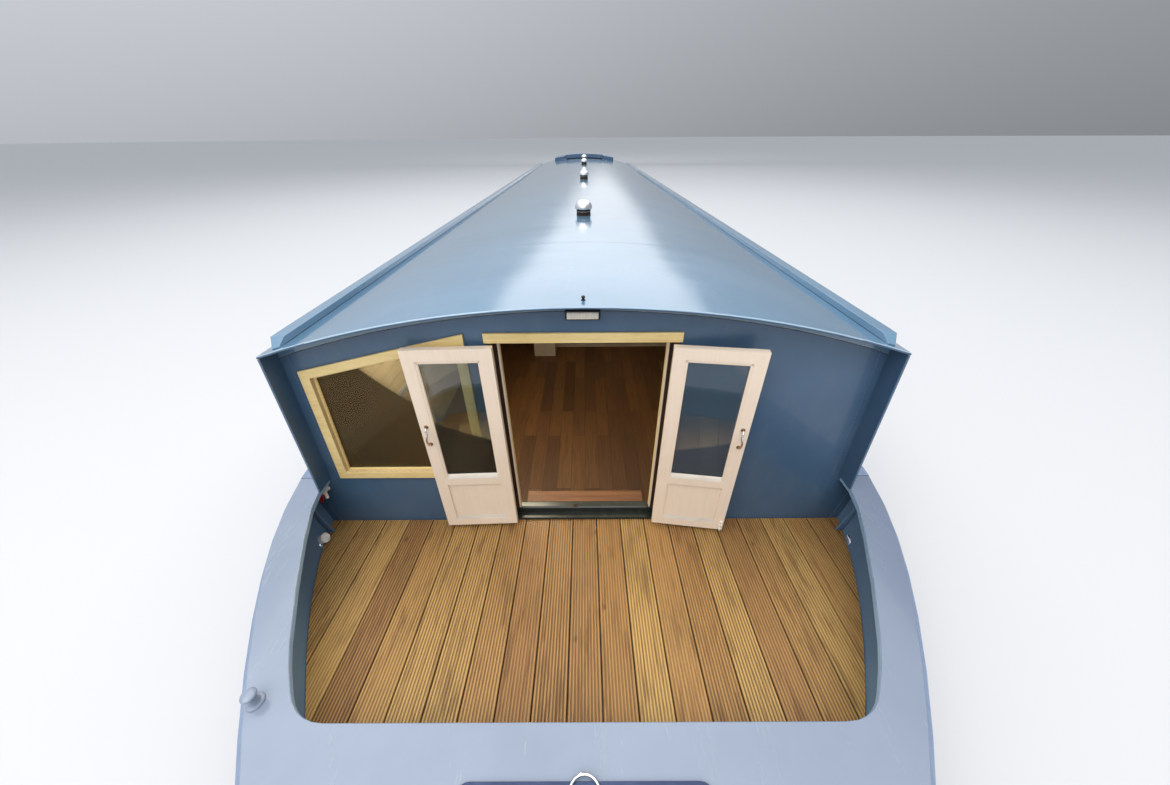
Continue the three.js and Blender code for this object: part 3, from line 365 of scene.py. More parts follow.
@dataclass(frozen=True)
class DeckBoard(Finish):
    """Pressure-treated softwood decking, oiled: each board has its own tone, with knots and long grain.

    The grooves hold dirt, so they read as fine dark lines along each board. Towards the front wall
    the boards are darker, as painted shade.
    """

    pitch: float
    groove: float
    wall: float = FRONT_WALL

    def mix(self, tree: NodeTree, shader: Node, place: NodeSocket) -> None:
        """Mixes a tone for each board with its grain, knots, stains and dirty grooves."""
        across = add(tree, "SeparateXYZ", links={"Vector": place}).outputs["X"]
        count = add(tree, "Math", {"operation": "MULTIPLY_ADD", 1: 1 / self.pitch, 2: 40.5}, {0: across})
        board = add(tree, "Math", {"operation": "FLOOR"}, {0: count})
        tone = add(tree, "TexWhiteNoise", {"noise_dimensions": "1D"}, {"W": board})
        shift = add(tree, "Math", {"operation": "MULTIPLY", 1: 7.3}, {0: board})
        offset = add(tree, "CombineXYZ", links={"X": shift, "Y": shift})
        own = add(tree, "VectorMath", {"operation": "ADD"}, {0: place, 1: offset})
        body = add(
            tree,
            "ValToRGB",
            {
                "stops": [
                    (0.0, linear("#a77b4b")),
                    (0.3, linear("#b98d52")),
                    (0.6, linear("#d0a965")),
                    (1.0, linear("#b98a52")),
                ]
            },
            {"Fac": tone.outputs["Value"]},
        )
        drawn = add(tree, "Mapping", {"Scale": (1.0, 0.07, 1.0)}, {"Vector": own})
        rings = add(tree, "TexNoise", {"Scale": 42.0, "Detail": 5.0, "Distortion": 0.9}, {"Vector": drawn})
        dark = add(tree, "MapRange", {"From Min": 0.5, "From Max": 0.68, "To Max": 0.62}, {"Value": rings})
        grained = add(tree, "Mix", {"data_type": "RGBA", 7: linear("#6f4722")}, {0: dark, 6: body})
        patch = add(tree, "Mapping", {"Scale": (1.0, 0.35, 1.0)}, {"Vector": own})
        stain = add(tree, "TexNoise", {"Scale": 7.0, "Detail": 6.0, "Roughness": 0.65}, {"Vector": patch})
        wet = add(tree, "MapRange", {"From Min": 0.52, "From Max": 0.74, "To Max": 0.55}, {"Value": stain})
        stained = add(tree, "Mix", {"data_type": "RGBA", 7: linear("#7d6a3c")}, {0: wet, 6: grained})
        knotty = add(tree, "Mapping", {"Scale": (6.2, 3.1, 1.0)}, {"Vector": own})
        knots = add(tree, "TexVoronoi", {"Scale": 1.0, "Randomness": 1.0}, {"Vector": knotty})
        knot = add(
            tree, "MapRange", {"From Min": 0.085, "From Max": 0.035, "To Max": 0.85}, {"Value": knots}
        )
        spotted = add(tree, "Mix", {"data_type": "RGBA", 7: linear("#4e2c14")}, {0: knot, 6: stained})
        # Painted shade: the boards darken towards the front wall
        along = add(tree, "SeparateXYZ", links={"Vector": place}).outputs["Y"]
        painted_wall_shade = add(
            tree,
            "MapRange",
            {"From Min": self.wall - 1.3, "From Max": self.wall - 0.1, "To Max": 0.42},
            {"Value": along},
        )
        spotted = add(
            tree, "Mix", {"data_type": "RGBA", 7: linear("#6a4c2b")}, {0: painted_wall_shade, 6: spotted.outputs[2]}
        )
        inside = add(tree, "Math", {"operation": "FRACT"}, {0: count})
        local = add(
            tree, "Math", {"operation": "MULTIPLY_ADD", 1: self.pitch, 2: -self.pitch / 2}, {0: inside}
        )
        from_groove = add(tree, "Math", {"operation": "PINGPONG", 1: self.groove / 2}, {0: local})
        other = add(tree, "Math", {"operation": "ADD", 1: 31.7}, {0: board})
        filled = add(tree, "TexWhiteNoise", {"noise_dimensions": "1D"}, {"W": other})
        deep = add(tree, "MapRange", {"To Min": 0.35, "To Max": 0.75}, {"Value": filled.outputs["Value"]})
        near = add(tree, "MapRange", {"From Min": 0.0042, "From Max": 0.0022}, {"Value": from_groove})
        dirt = add(tree, "Math", {"operation": "MULTIPLY"}, {0: near, 1: deep})
        colour = add(tree, "Mix", {"data_type": "RGBA", 7: linear("#4b3218")}, {0: dirt, 6: spotted})
        bump = add(tree, "Bump", {"Strength": 0.5, "Distance": 0.0015}, {"Height": rings})
        self.show(tree, shader, colour.outputs[2], bump, 0.58)


@dataclass(frozen=True)
class Planks(Finish):
    """Stained and lacquered oak strips: one width, broken lengths, and a tone for each strip."""

    dark: str
    pale: str
    width: float
    length: float
    roughness: float = 0.38

    def mix(self, tree: NodeTree, shader: Node, place: NodeSocket) -> None:
        """Mixes the strips' tones with drawn-out grain and open joints."""
        turned = add(tree, "Mapping", {"Rotation": (0.0, 0.0, math.pi / 2)}, {"Vector": place})
        strips = add(
            tree,
            "TexBrick",
            {
                "offset": 0.37,
                "squash": 1.0,
                "Color1": (0.0, 0.0, 0.0, 1.0),
                "Color2": (1.0, 1.0, 1.0, 1.0),
                "Mortar": (0.5, 0.5, 0.5, 1.0),
                "Scale": 1.0,
                "Mortar Size": 0.0012,
                "Brick Width": self.length,
                "Row Height": self.width,
            },
            {"Vector": turned},
        )
        tone = add(
            tree, "Mix", {"data_type": "RGBA", 6: linear(self.dark), 7: linear(self.pale)}, {0: strips}
        )
        drawn = add(tree, "Mapping", {"Scale": (1.0, 0.06, 1.0)}, {"Vector": place})
        grain = add(tree, "TexNoise", {"Scale": 60.0, "Detail": 6.0, "Distortion": 0.7}, {"Vector": drawn})
        lines = add(tree, "MapRange", {"From Min": 0.45, "From Max": 0.72, "To Max": 0.5}, {"Value": grain})
        grained = add(tree, "Mix", {"data_type": "RGBA", 7: linear("#2a160a")}, {0: lines, 6: tone})
        joint = strips.outputs["Fac"]
        colour = add(tree, "Mix", {"data_type": "RGBA", 7: linear("#170c06")}, {0: joint, 6: grained})
        bump = add(tree, "Bump", {"Strength": 0.3, "Distance": 0.001}, {"Height": grain})
        cut = add(tree, "Bump", {"Strength": 0.6, "Distance": -0.002}, {"Height": joint, "Normal": bump})
        self.show(tree, shader, colour.outputs[2], cut, self.roughness)


@dataclass(frozen=True)
class Varnish(Finish):
    """Varnished hardwood: warm, with drawn-out grain under a clear satin coat."""

    dark: str
    pale: str
    grain: Grain

    def mix(self, tree: NodeTree, shader: Node, place: NodeSocket) -> None:
        """Mixes two wood tones along the grain."""
        drawn = add(tree, "Mapping", {"Scale": self.grain.value}, {"Vector": place})
        rings = add(tree, "TexNoise", {"Scale": 34.0, "Detail": 6.0, "Distortion": 1.2}, {"Vector": drawn})
        spread = add(tree, "MapRange", {"From Min": 0.34, "From Max": 0.66}, {"Value": rings})
        colour = add(
            tree, "Mix", {"data_type": "RGBA", 6: linear(self.pale), 7: linear(self.dark)}, {0: spread}
        )
        bump = add(tree, "Bump", {"Strength": 0.25, "Distance": 0.001}, {"Height": rings})
        self.show(tree, shader, colour.outputs[2], bump, 0.4)
        shader.inputs["Coat Weight"].default_value = 0.35
        shader.inputs["Coat Roughness"].default_value = 0.18


@dataclass(frozen=True)
class Boarding(Finish):
    """Painted tongue-and-groove lining: pale boards with a shadow line between them."""

    colour: str
    shade: str
    pitch: float = 0.1

    def mix(self, tree: NodeTree, shader: Node, place: NodeSocket) -> None:
        """Mixes a pale paint with a dark line at each joint."""
        parts = add(tree, "SeparateXYZ", links={"Vector": place})
        line = add(tree, "Math", {"operation": "PINGPONG", 1: self.pitch / 2}, {0: parts.outputs["Z"]})
        joint = add(tree, "MapRange", {"From Min": 0.0035, "From Max": 0.001}, {"Value": line})
        streaks = add(tree, "TexNoise", {"Scale": 6.0, "Detail": 6.0}, {"Vector": place})
        paint = add(
            tree, "Mix", {"data_type": "RGBA", 6: linear(self.colour), 7: linear(self.shade)}, {0: streaks}
        )
        shadow = add(tree, "Math", {"operation": "MULTIPLY", 1: 0.7}, {0: joint})
        colour = add(tree, "Mix", {"data_type": "RGBA", 7: linear("#4a4336")}, {0: shadow, 6: paint})
        bump = add(tree, "Bump", {"Strength": 0.8, "Distance": -0.003}, {"Height": joint})
        self.show(tree, shader, colour.outputs[2], bump, 0.5)


@dataclass(frozen=True)
class Metal(Finish):
    """Bare or plated metal: bright, with fine scratches and finger marks in its gloss."""

    colour: str
    roughness: float = 0.14
    tarnish: str = "#5c5a56"
    tarnished: float = 0.25

    def mix(self, tree: NodeTree, shader: Node, place: NodeSocket) -> None:
        """Mixes tarnish and uneven gloss into the metal."""
        marks = add(tree, "TexNoise", {"Scale": 38.0, "Detail": 8.0, "Roughness": 0.7}, {"Vector": place})
        share = add(
            tree,
            "MapRange",
            {"From Min": 0.48, "From Max": 0.74, "To Max": self.tarnished},
            {"Value": marks},
        )
        colour = add(
            tree, "Mix", {"data_type": "RGBA", 6: linear(self.colour), 7: linear(self.tarnish)}, {0: share}
        )
        gloss = add(
            tree,
            "MapRange",
            {"To Min": self.roughness * 0.6, "To Max": self.roughness * 1.9},
            {"Value": marks},
        )
        bump = add(tree, "Bump", {"Strength": 0.12, "Distance": 0.0006}, {"Height": marks})
        self.show(tree, shader, colour.outputs[2], bump, gloss)
        shader.inputs["Metallic"].default_value = 1.0


@dataclass(frozen=True)
class Moulded(Finish):
    """Moulded plastic or rubber: even colour with a fine moulded grain and a little dirt."""

    colour: str
    dirt: str
    roughness: float = 0.45

    def mix(self, tree: NodeTree, shader: Node, place: NodeSocket) -> None:
        """Mixes a little dirt over a fine grain."""
        dust = add(tree, "TexNoise", {"Scale": 22.0, "Detail": 7.0, "Roughness": 0.7}, {"Vector": place})
        share = add(tree, "MapRange", {"From Min": 0.5, "From Max": 0.78, "To Max": 0.6}, {"Value": dust})
        colour = add(
            tree, "Mix", {"data_type": "RGBA", 6: linear(self.colour), 7: linear(self.dirt)}, {0: share}
        )
        fine = add(tree, "TexNoise", {"Scale": 420.0, "Detail": 2.0}, {"Vector": place})
        bump = add(tree, "Bump", {"Strength": 0.25, "Distance": 0.0004}, {"Height": fine})
        self.show(tree, shader, colour.outputs[2], bump, self.roughness)


@dataclass(frozen=True)
class Glazing(Finish):
    """Clear window glass: mirrors at a slant, tints a little, lets lamps through, and is dusty; some panes
    get painted light.
    """

    tint: str
    roughness: float = 0.02
    # The film's share and colour: dust on clear panes, painted light on the port leaf and the front window
    dust: float = 0.02
    film: str = "#b9b4a8"
    mirror: str = "#f9fbff"

    def material(self) -> Material:
        """Makes the pane of see-through tint under a Fresnel mirror once, and returns it."""
        made = bpy.data.materials.get(self.name)
        if made:
            return made
        made = bpy.data.materials.new(self.name)
        made.use_nodes = True
        tree = made.node_tree
        tree.nodes.clear()
        clear = add(tree, "BsdfTransparent", {"Color": linear(self.tint)})
        mirror = add(tree, "BsdfGlossy", {"Color": linear(self.mirror), "Roughness": self.roughness})
        slant = add(tree, "Fresnel", {"IOR": 1.52})
        pane = add(tree, "MixShader", links={0: slant, 1: clear, 2: mirror})
        # Diffuse film over the pane: dust, and on some panes painted light
        film = add(tree, "BsdfDiffuse", {"Color": linear(self.film)})
        dusty = add(tree, "MixShader", {0: self.dust}, {1: pane, 2: film})
        add(tree, "OutputMaterial", links={"Surface": dusty})
        return made


ROOF_ENAMEL = Enamel("enamel_roof", "#577c98", "#6286a2", roughness=0.17, coat=0.9, ripple=0.0016, welds=2.5)
HULL_ENAMEL = Enamel(
    "enamel_hull", "#70829e", "#7d8ea8", roughness=0.26, coat=0.5, boot=True, scuffs=0.55, welds=2.5
)
DECK_ENAMEL = Enamel(
    "enamel_deck", "#7a879b", "#8692a6", roughness=0.24, coat=0.6, ripple=0.002, scuffs=0.3, port_shade=0.5
)
WELL_ENAMEL = Enamel("enamel_well", "#5c7c9c", "#6885a2", roughness=0.55, coat=0.0, ripple=0.001)
# Paler, bluer copy of the deck enamel for the rim round the well: a painted highlight
LIP_HIGHLIGHT_ENAMEL = Enamel("enamel_lip_painted_highlight", "#93b8d8", "#a1c1de", roughness=0.5, coat=0.0, ripple=0.001)
# Paler copy of the roof enamel for the rounding of the roof's front edge: a painted highlight
ROOF_EDGE_HIGHLIGHT = Enamel("enamel_painted_edge_highlight", "#8fa9bf", "#a2b9cb", roughness=0.35, coat=0.2, ripple=0.001)
WALL_ENAMEL = Enamel("enamel_wall", "#3b5875", "#446280", roughness=0.42, coat=0.3, ripple=0.0015)
NAVY_ENAMEL = NonSlip("gritted_navy", "#22335a", "#33456b")
BLACKING = Bitumen("bitumen_blacking")
CREAM_ACROSS = PaintedWood("cream_paint_across", "#e7d094", "#d6bb7b", Grain.ACROSS)
CREAM_UPRIGHT = PaintedWood("cream_paint_upright", "#e7d094", "#d6bb7b", Grain.UPRIGHT)
REVEAL = PaintedWood("reveal_paint", "#d9c495", "#b99c78", Grain.UPRIGHT)
# Dark wood for the jambs' rebates, made darker still as painted shade in the gap beside the leaves
JAMB_WOOD_AND_SHADE = PaintedWood("dark_jamb_and_painted_shade", "#4a3322", "#2c1d12", Grain.UPRIGHT)
OFF_WHITE = PaintedWood("off_white_paint", "#ecdcca", "#e6d5c2", Grain.UPRIGHT, relief=0.08)
BRIGHT_WHITE = PaintedWood("white_paint", "#e9e4dc", "#d8d0c4", Grain.ACROSS, roughness=0.36)
DECKING = DeckBoard("grooved_softwood", pitch=BOARD_PITCH, groove=GROOVE_PITCH)
OAK = Planks("oak_strips", "#4c2f15", "#6f4a24", width=0.125, length=1.15, roughness=0.5)
TREAD = Varnish("varnished_tread", "#663c1b", "#87552c", Grain.ACROSS)
COUNTER = Varnish("varnished_counter", "#6b4322", "#9a6b3a", Grain.ACROSS)
GRIP = Varnish("varnished_grip", "#7a4a22", "#b07a44", Grain.LENGTHWISE)
LAMINATE = Moulded("laminate_unit", "#b5a899", "#93877a", roughness=0.35)
WORKTOP = Varnish("oiled_worktop", "#6e4a2a", "#93693d", Grain.ACROSS)
LINING = Boarding("boarded_lining", "#cfc5b2", "#c2b7a2")
SILL = Moulded("black_sill", "#1b211e", "#3c443f", roughness=0.28)
GLASS = Glazing("window_glass_clear", "#eef2f0", dust=0.012)
# A warm brown diffuse film and a warm-tinted mirror on the front window: painted light of the interior
# behind it
PAINTED_INTERIOR_GLASS = Glazing("window_glass_painted_interior_light", "#f2eee4", dust=0.14, film="#8f7d5c", mirror="#a09272")
# A bluish diffuse film on the port leaf's glass: a painted reflection of the sky
PAINTED_SKY_GLASS = Glazing("window_glass_painted_sky_reflection", "#eef2f0", dust=0.10, film="#8299b0")
CHROME = Metal("chrome_plate", "#e4e6e8", roughness=0.1)
CAP_METAL = Metal("polished_cap", "#eef0f1", roughness=0.24, tarnish="#b9bbbd")
ALUMINIUM = Metal("anodised_frame", "#b9bcc0", roughness=0.3, tarnish="#8d8f92")
BRASS = Metal("tarnished_brass", "#8f6a45", roughness=0.28, tarnish="#3c2c1e", tarnished=0.6)
BRONZE = Metal("cast_bronze", "#b08a4c", roughness=0.24, tarnish="#5d4a2a", tarnished=0.5)
RUBBER = Moulded("black_rubber", "#161616", "#33312e", roughness=0.6)
GAUZE = Metal("vent_gauze", "#4d4138", roughness=0.5, tarnish="#2b241f", tarnished=0.6)
LENS = Moulded("lamp_lens", "#e8e4d8", "#d4cfc0", roughness=0.25)
WHITE_PLASTIC = Moulded("white_pipe", "#f3f0ea", "#d9d2c4", roughness=0.4)
RED_PLASTIC = Moulded("red_lever", "#b3202c", "#7f1a22", roughness=0.35)
ENGINE_PAINT = Enamel("engine_enamel", "#3f5a48", "#4b6653", roughness=0.35, coat=0.2)


# Modelling


class Bench:
    """The modelling bench: primitives, edit-mode operators and applied modifiers."""

    @staticmethod
    def take(*pieces: Object) -> Object:
        """Selects these pieces alone, and makes the first one active."""
        bpy.ops.object.select_all(action="DESELECT")
        for piece in pieces:
            piece.select_set(True)
        bpy.context.view_layer.objects.active = pieces[0]
        return pieces[0]

    @staticmethod
    def fresh(name: str) -> Object:
        """Names the new primitive and puts its place into its mesh."""
        piece = bpy.context.object
        piece.name = name
        piece.data.name = name
        bpy.ops.object.transform_apply(location=True, rotation=True, scale=True)
        return piece

    @staticmethod
    def outward(piece: Object) -> Object:
        """Turns every face of a closed piece outwards."""
        Bench.take(piece)
        bpy.ops.object.mode_set(mode="EDIT")
        bpy.ops.mesh.select_all(action="SELECT")
        bpy.ops.mesh.normals_make_consistent(inside=False)
        bpy.ops.object.mode_set(mode="OBJECT")
        # The operator can leave a ring with tight corners inside out, and its volume is then below zero
        if sum(face.area * face.center.dot(face.normal) for face in piece.data.polygons) < 0.0:
            piece.data.flip_normals()
        return piece

    @staticmethod
    def block(name: str, low: tuple, high: tuple, bevel: float = 0.0) -> Object:
        """Makes a block with rounded edges.

        Args:
            name: the piece's name.
            low: its lowest corner.
            high: its highest corner.
            bevel: the width of its rounded edges.

        Returns:
            The new piece.
        """
        bpy.ops.object.select_all(action="DESELECT")
        middle = [(a + b) / 2 for a, b in zip(low, high)]
        size = [b - a for a, b in zip(low, high)]
        bpy.ops.mesh.primitive_cube_add(size=1.0, location=middle, scale=size)
        piece = Bench.fresh(name)
        if bevel:
            Bench.soften(piece, bevel)
        return piece

    @staticmethod
    def section(
        name: str, outline: Sequence, axis: Axis, start: float, end: float, rise: float = 0.0
    ) -> Object:
        """Runs a flat outline along an axis.

        Args:
            name: the piece's name.
            outline: the section's points on the other two axes, in their order.
            axis: the direction that it is run along.
            start: where it starts on that axis.
            end: where it ends.
            rise: how far it climbs on the way.

        Returns:
            The new closed piece.
        """
        bpy.ops.object.select_all(action="DESELECT")
        bpy.ops.mesh.primitive_circle_add(vertices=len(outline), radius=1.0, fill_type="NGON")
        piece = Bench.fresh(name)
        for vertex, (a, b) in zip(piece.data.vertices, outline):
            place = [a, b]
            place.insert(axis.value, start)
            vertex.co = place
        run = [0.0, 0.0, 0.0]
        run[axis.value] = end - start
        run[2] += rise
        bpy.ops.object.mode_set(mode="EDIT")
        bpy.ops.mesh.select_all(action="SELECT")
        bpy.ops.mesh.extrude_region_move(TRANSFORM_OT_translate={"value": run})
        bpy.ops.object.mode_set(mode="OBJECT")
        return Bench.outward(piece)

    @staticmethod
    def turned(name: str, profile: Sequence, sides: int = 32) -> Object:
        """Turns a profile about the Z axis, ring by ring.

        Args:
            name: the piece's name.
            profile: pairs of radius and height, from the foot up; a last radius of 0 closes in a point.
            sides: how many sides the rings have.

        Returns:
            The new closed piece, standing over the origin.
        """
        bpy.ops.object.select_all(action="DESELECT")
        tip = 1e-4
        radius, height = profile[0]
        bpy.ops.mesh.primitive_circle_add(
            vertices=sides, radius=radius, fill_type="NGON", location=(0.0, 0.0, height)
        )
        piece = Bench.fresh(name)
        bpy.ops.object.mode_set(mode="EDIT")
        bpy.ops.mesh.select_all(action="SELECT")
        for next_radius, next_height in profile[1:]:
            rise = (0.0, 0.0, next_height - height)
            bpy.ops.mesh.extrude_region_move(TRANSFORM_OT_translate={"value": rise})
            next_radius = max(next_radius, tip)
            share = next_radius / radius
            bpy.ops.transform.resize(value=(share, share, 1.0), center_override=(0.0, 0.0, next_height))
            radius, height = next_radius, next_height
        if profile[-1][0] == 0.0:
            bpy.ops.mesh.merge(type="CENTER")
        bpy.ops.object.mode_set(mode="OBJECT")
        Bench.outward(piece)
        return Bench.smooth(piece, 35.0)

    @staticmethod
    def tube(
        name: str, points: Sequence, radius: float, closed: bool = False, curved: bool = True
    ) -> Object:
        """Bends a round rod through points.

        Args:
            name: the piece's name.
            points: the places that it follows.
            radius: its radius.
            closed: whether its ends meet.
            curved: whether it is bent smoothly, and not in straight runs.

        Returns:
            The new mesh.
        """
        curve = bpy.data.curves.new(name, "CURVE")
        curve.dimensions = "3D"
        curve.resolution_u = 8
        spline = curve.splines.new("BEZIER")
        spline.bezier_points.add(len(points) - 1)
        for knot, point in zip(spline.bezier_points, points):
            knot.co = point
            knot.handle_left_type = knot.handle_right_type = "AUTO" if curved else "VECTOR"
        spline.use_cyclic_u = closed
        curve.bevel_depth = radius
        curve.bevel_resolution = 3
        curve.use_fill_caps = True
        piece = bpy.data.objects.new(name, curve)
        bpy.context.scene.collection.objects.link(piece)
        Bench.take(piece)
        bpy.ops.object.convert(target="MESH")
        piece = bpy.context.object
        piece.name = name
        return Bench.smooth(Bench.outward(piece), 40.0)

    @staticmethod
    def ring(name: str, width: float, height: float, radius: float, band: float, thick: float) -> Object:
        """Makes a flat frame with rounded corners, standing on the XY plane.

        Args:
            name: the piece's name.
            width: its outer size along X.
            height: its outer size along Y.
            radius: its outer corners' radius.
            band: how wide the frame is.
            thick: how thick it is.

        Returns:
            The new closed piece.
        """
        bpy.ops.object.select_all(action="DESELECT")
        bpy.ops.mesh.primitive_plane_add(size=1.0)
        piece = bpy.context.object
        piece.scale = (width, height, 1.0)
        Bench.fresh(name)
        bpy.ops.object.mode_set(mode="EDIT")
        bpy.ops.mesh.select_all(action="SELECT")
        bpy.ops.mesh.bevel(offset=radius, segments=8, affect="VERTICES")
        bpy.ops.mesh.select_all(action="SELECT")
        bpy.ops.mesh.inset(thickness=band)
        bpy.ops.mesh.delete(type="FACE")
        bpy.ops.mesh.select_all(action="SELECT")
        bpy.ops.mesh.extrude_region_move(TRANSFORM_OT_translate={"value": (0.0, 0.0, thick)})
        bpy.ops.object.mode_set(mode="OBJECT")
        return Bench.outward(piece)

    @staticmethod
    def settle(piece: Object, matrix: Matrix) -> Object:
        """Moves a piece by a matrix and keeps its place in its mesh."""
        Bench.take(piece)
        piece.matrix_world = matrix
        bpy.ops.object.transform_apply(location=True, rotation=True, scale=True)
        if matrix.determinant() < 0:
            Bench.outward(piece)
        return piece

    @staticmethod
    def copy(piece: Object, name: str, matrix: Matrix) -> Object:
        """Makes a copy with its own mesh, moved by a matrix."""
        twin = piece.copy()
        twin.data = piece.data.copy()
        twin.name = name
        bpy.context.scene.collection.objects.link(twin)
        return Bench.settle(twin, matrix)

    @staticmethod
    def smooth(piece: Object, angle: float) -> Object:
        """Shades a piece smooth, with hard edges past an angle in degrees."""
        Bench.take(piece)
        bpy.ops.object.shade_smooth_by_angle(angle=math.radians(angle))
        return piece

    @staticmethod
    def soften(piece: Object, width: float, steps: int = 2, angle: float = 30.0) -> Object:
        """Rounds the edges of a piece that turn by more than an angle in degrees."""
        Bench.take(piece)
        bpy.ops.object.modifier_add(type="BEVEL")
        bevel = piece.modifiers[-1]
        bevel.width = width
        bevel.segments = steps
        bevel.limit_method = "ANGLE"
        bevel.angle_limit = math.radians(angle)
        bevel.use_clamp_overlap = True
        bpy.ops.object.modifier_apply(modifier=bevel.name)
        return Bench.smooth(piece, 32.0)

    @staticmethod
    def shape(piece: Object, tool: Object, operation: str) -> Object:
        """Cuts a piece with a tool, or keeps what both hold, and removes the tool."""
        Bench.take(piece)
        bpy.ops.object.modifier_add(type="BOOLEAN")
        boolean = piece.modifiers[-1]
        boolean.operation = operation
        boolean.object = tool
        boolean.solver = "EXACT"
        bpy.ops.object.modifier_apply(modifier=boolean.name)
        bpy.data.objects.remove(tool)
        return piece

    @staticmethod
    def join(name: str, pieces: list) -> Object:
        """Joins pieces to one."""
        Bench.take(*pieces)
        if len(pieces) > 1:
            bpy.ops.object.join()
        whole = bpy.context.object
        whole.name = name
        whole.data.name = name
        return whole

    @staticmethod
    def refined(node: str, bevel: float = 0.0, steps: int = 2, angle: float = 30.0) -> Object:
        """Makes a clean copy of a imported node, with merged faces and rounded edges.

        Args:
            node: the node's name.
            bevel: the width of its rounded edges.
            steps: how many faces each rounded edge has.
            angle: the turn in degrees past which an edge stays sharp or is rounded.

        Returns:
            The copy, named after the node.
        """
        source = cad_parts[node]
        piece = source.copy()
        piece.data = source.data.copy()
        piece.parent = None
        for key in list(piece.keys()):
            del piece[key]
        piece.name = node + "_dressed"
        bpy.context.scene.collection.objects.link(piece)
        Bench.take(piece)
        if piece.data.has_custom_normals:
            bpy.ops.mesh.customdata_custom_splitnormals_clear()
        piece.data.materials.clear()
        bpy.ops.object.mode_set(mode="EDIT")
        bpy.ops.mesh.select_all(action="SELECT")
        bpy.ops.mesh.remove_doubles(threshold=0.00005)
        bpy.ops.mesh.dissolve_limited(angle_limit=math.radians(0.2))
        bpy.ops.object.mode_set(mode="OBJECT")
        if bevel:
            Bench.soften(piece, bevel, steps, angle)
        else:
            Bench.smooth(piece, angle)
        return Bench.even(piece)

    @staticmethod
    def even(piece: Object) -> Object:
        """Turns the shading at each corner to its largest face, so that flat plates mirror true."""
        Bench.take(piece)
        bpy.ops.object.modifier_add(type="WEIGHTED_NORMAL")
        weighted = piece.modifiers[-1]
        weighted.keep_sharp = True
        bpy.ops.object.modifier_apply(modifier=weighted.name)
        return piece

    @staticmethod
    def split(piece: Object, at: tuple, normal: tuple) -> Object:
        """Cuts a piece's faces along a plane, and leaves its form as it is.

        Args:
            piece: the piece.
            at: a point of the plane.
            normal: the plane's normal.

        Returns:
            The piece.
        """
        Bench.take(piece)
        bpy.ops.object.mode_set(mode="EDIT")
        bpy.ops.mesh.select_all(action="SELECT")
        bpy.ops.mesh.bisect(plane_co=at, plane_no=normal)
        bpy.ops.object.mode_set(mode="OBJECT")
        return piece

    @staticmethod
    def paint(
        piece: Object, finish: Finish, wanted: Callable[[Vector, Vector], bool] | None = None
    ) -> Object:
        """Gives a piece a finish, or only its faces whose centre and normal pass a test.

        Args:
            piece: the piece.
            finish: the finish.
            wanted: the test of a face's centre and normal, or nothing for the whole piece.

        Returns:
            The piece.
        """
        piece.data.materials.append(finish.material())
        if wanted:
            index = len(piece.data.materials) - 1
            for face in piece.data.polygons:
                if wanted(face.center, face.normal):
                    face.material_index = index
        return piece


def place(piece: Object, body: Body, slot: str, *nodes: str) -> Object:
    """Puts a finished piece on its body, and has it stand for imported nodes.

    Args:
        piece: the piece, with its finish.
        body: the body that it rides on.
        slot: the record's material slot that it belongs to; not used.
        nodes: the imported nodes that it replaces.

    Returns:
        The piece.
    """
    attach(piece, body.value)
    if nodes:
        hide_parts(*nodes)
    log.info("%s: %d faces on %s", piece.name, len(piece.data.polygons), body.value)
    return piece


def dress(node: str, finish: Finish) -> None:
    """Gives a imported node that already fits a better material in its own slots."""
    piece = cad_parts[node]
    if not piece.data.materials:
        piece.data.materials.append(finish.material())
    for slot in piece.material_slots:
        slot.material = finish.material()
    log.info("%s: dressed as packed", node)


# Sub-assemblies


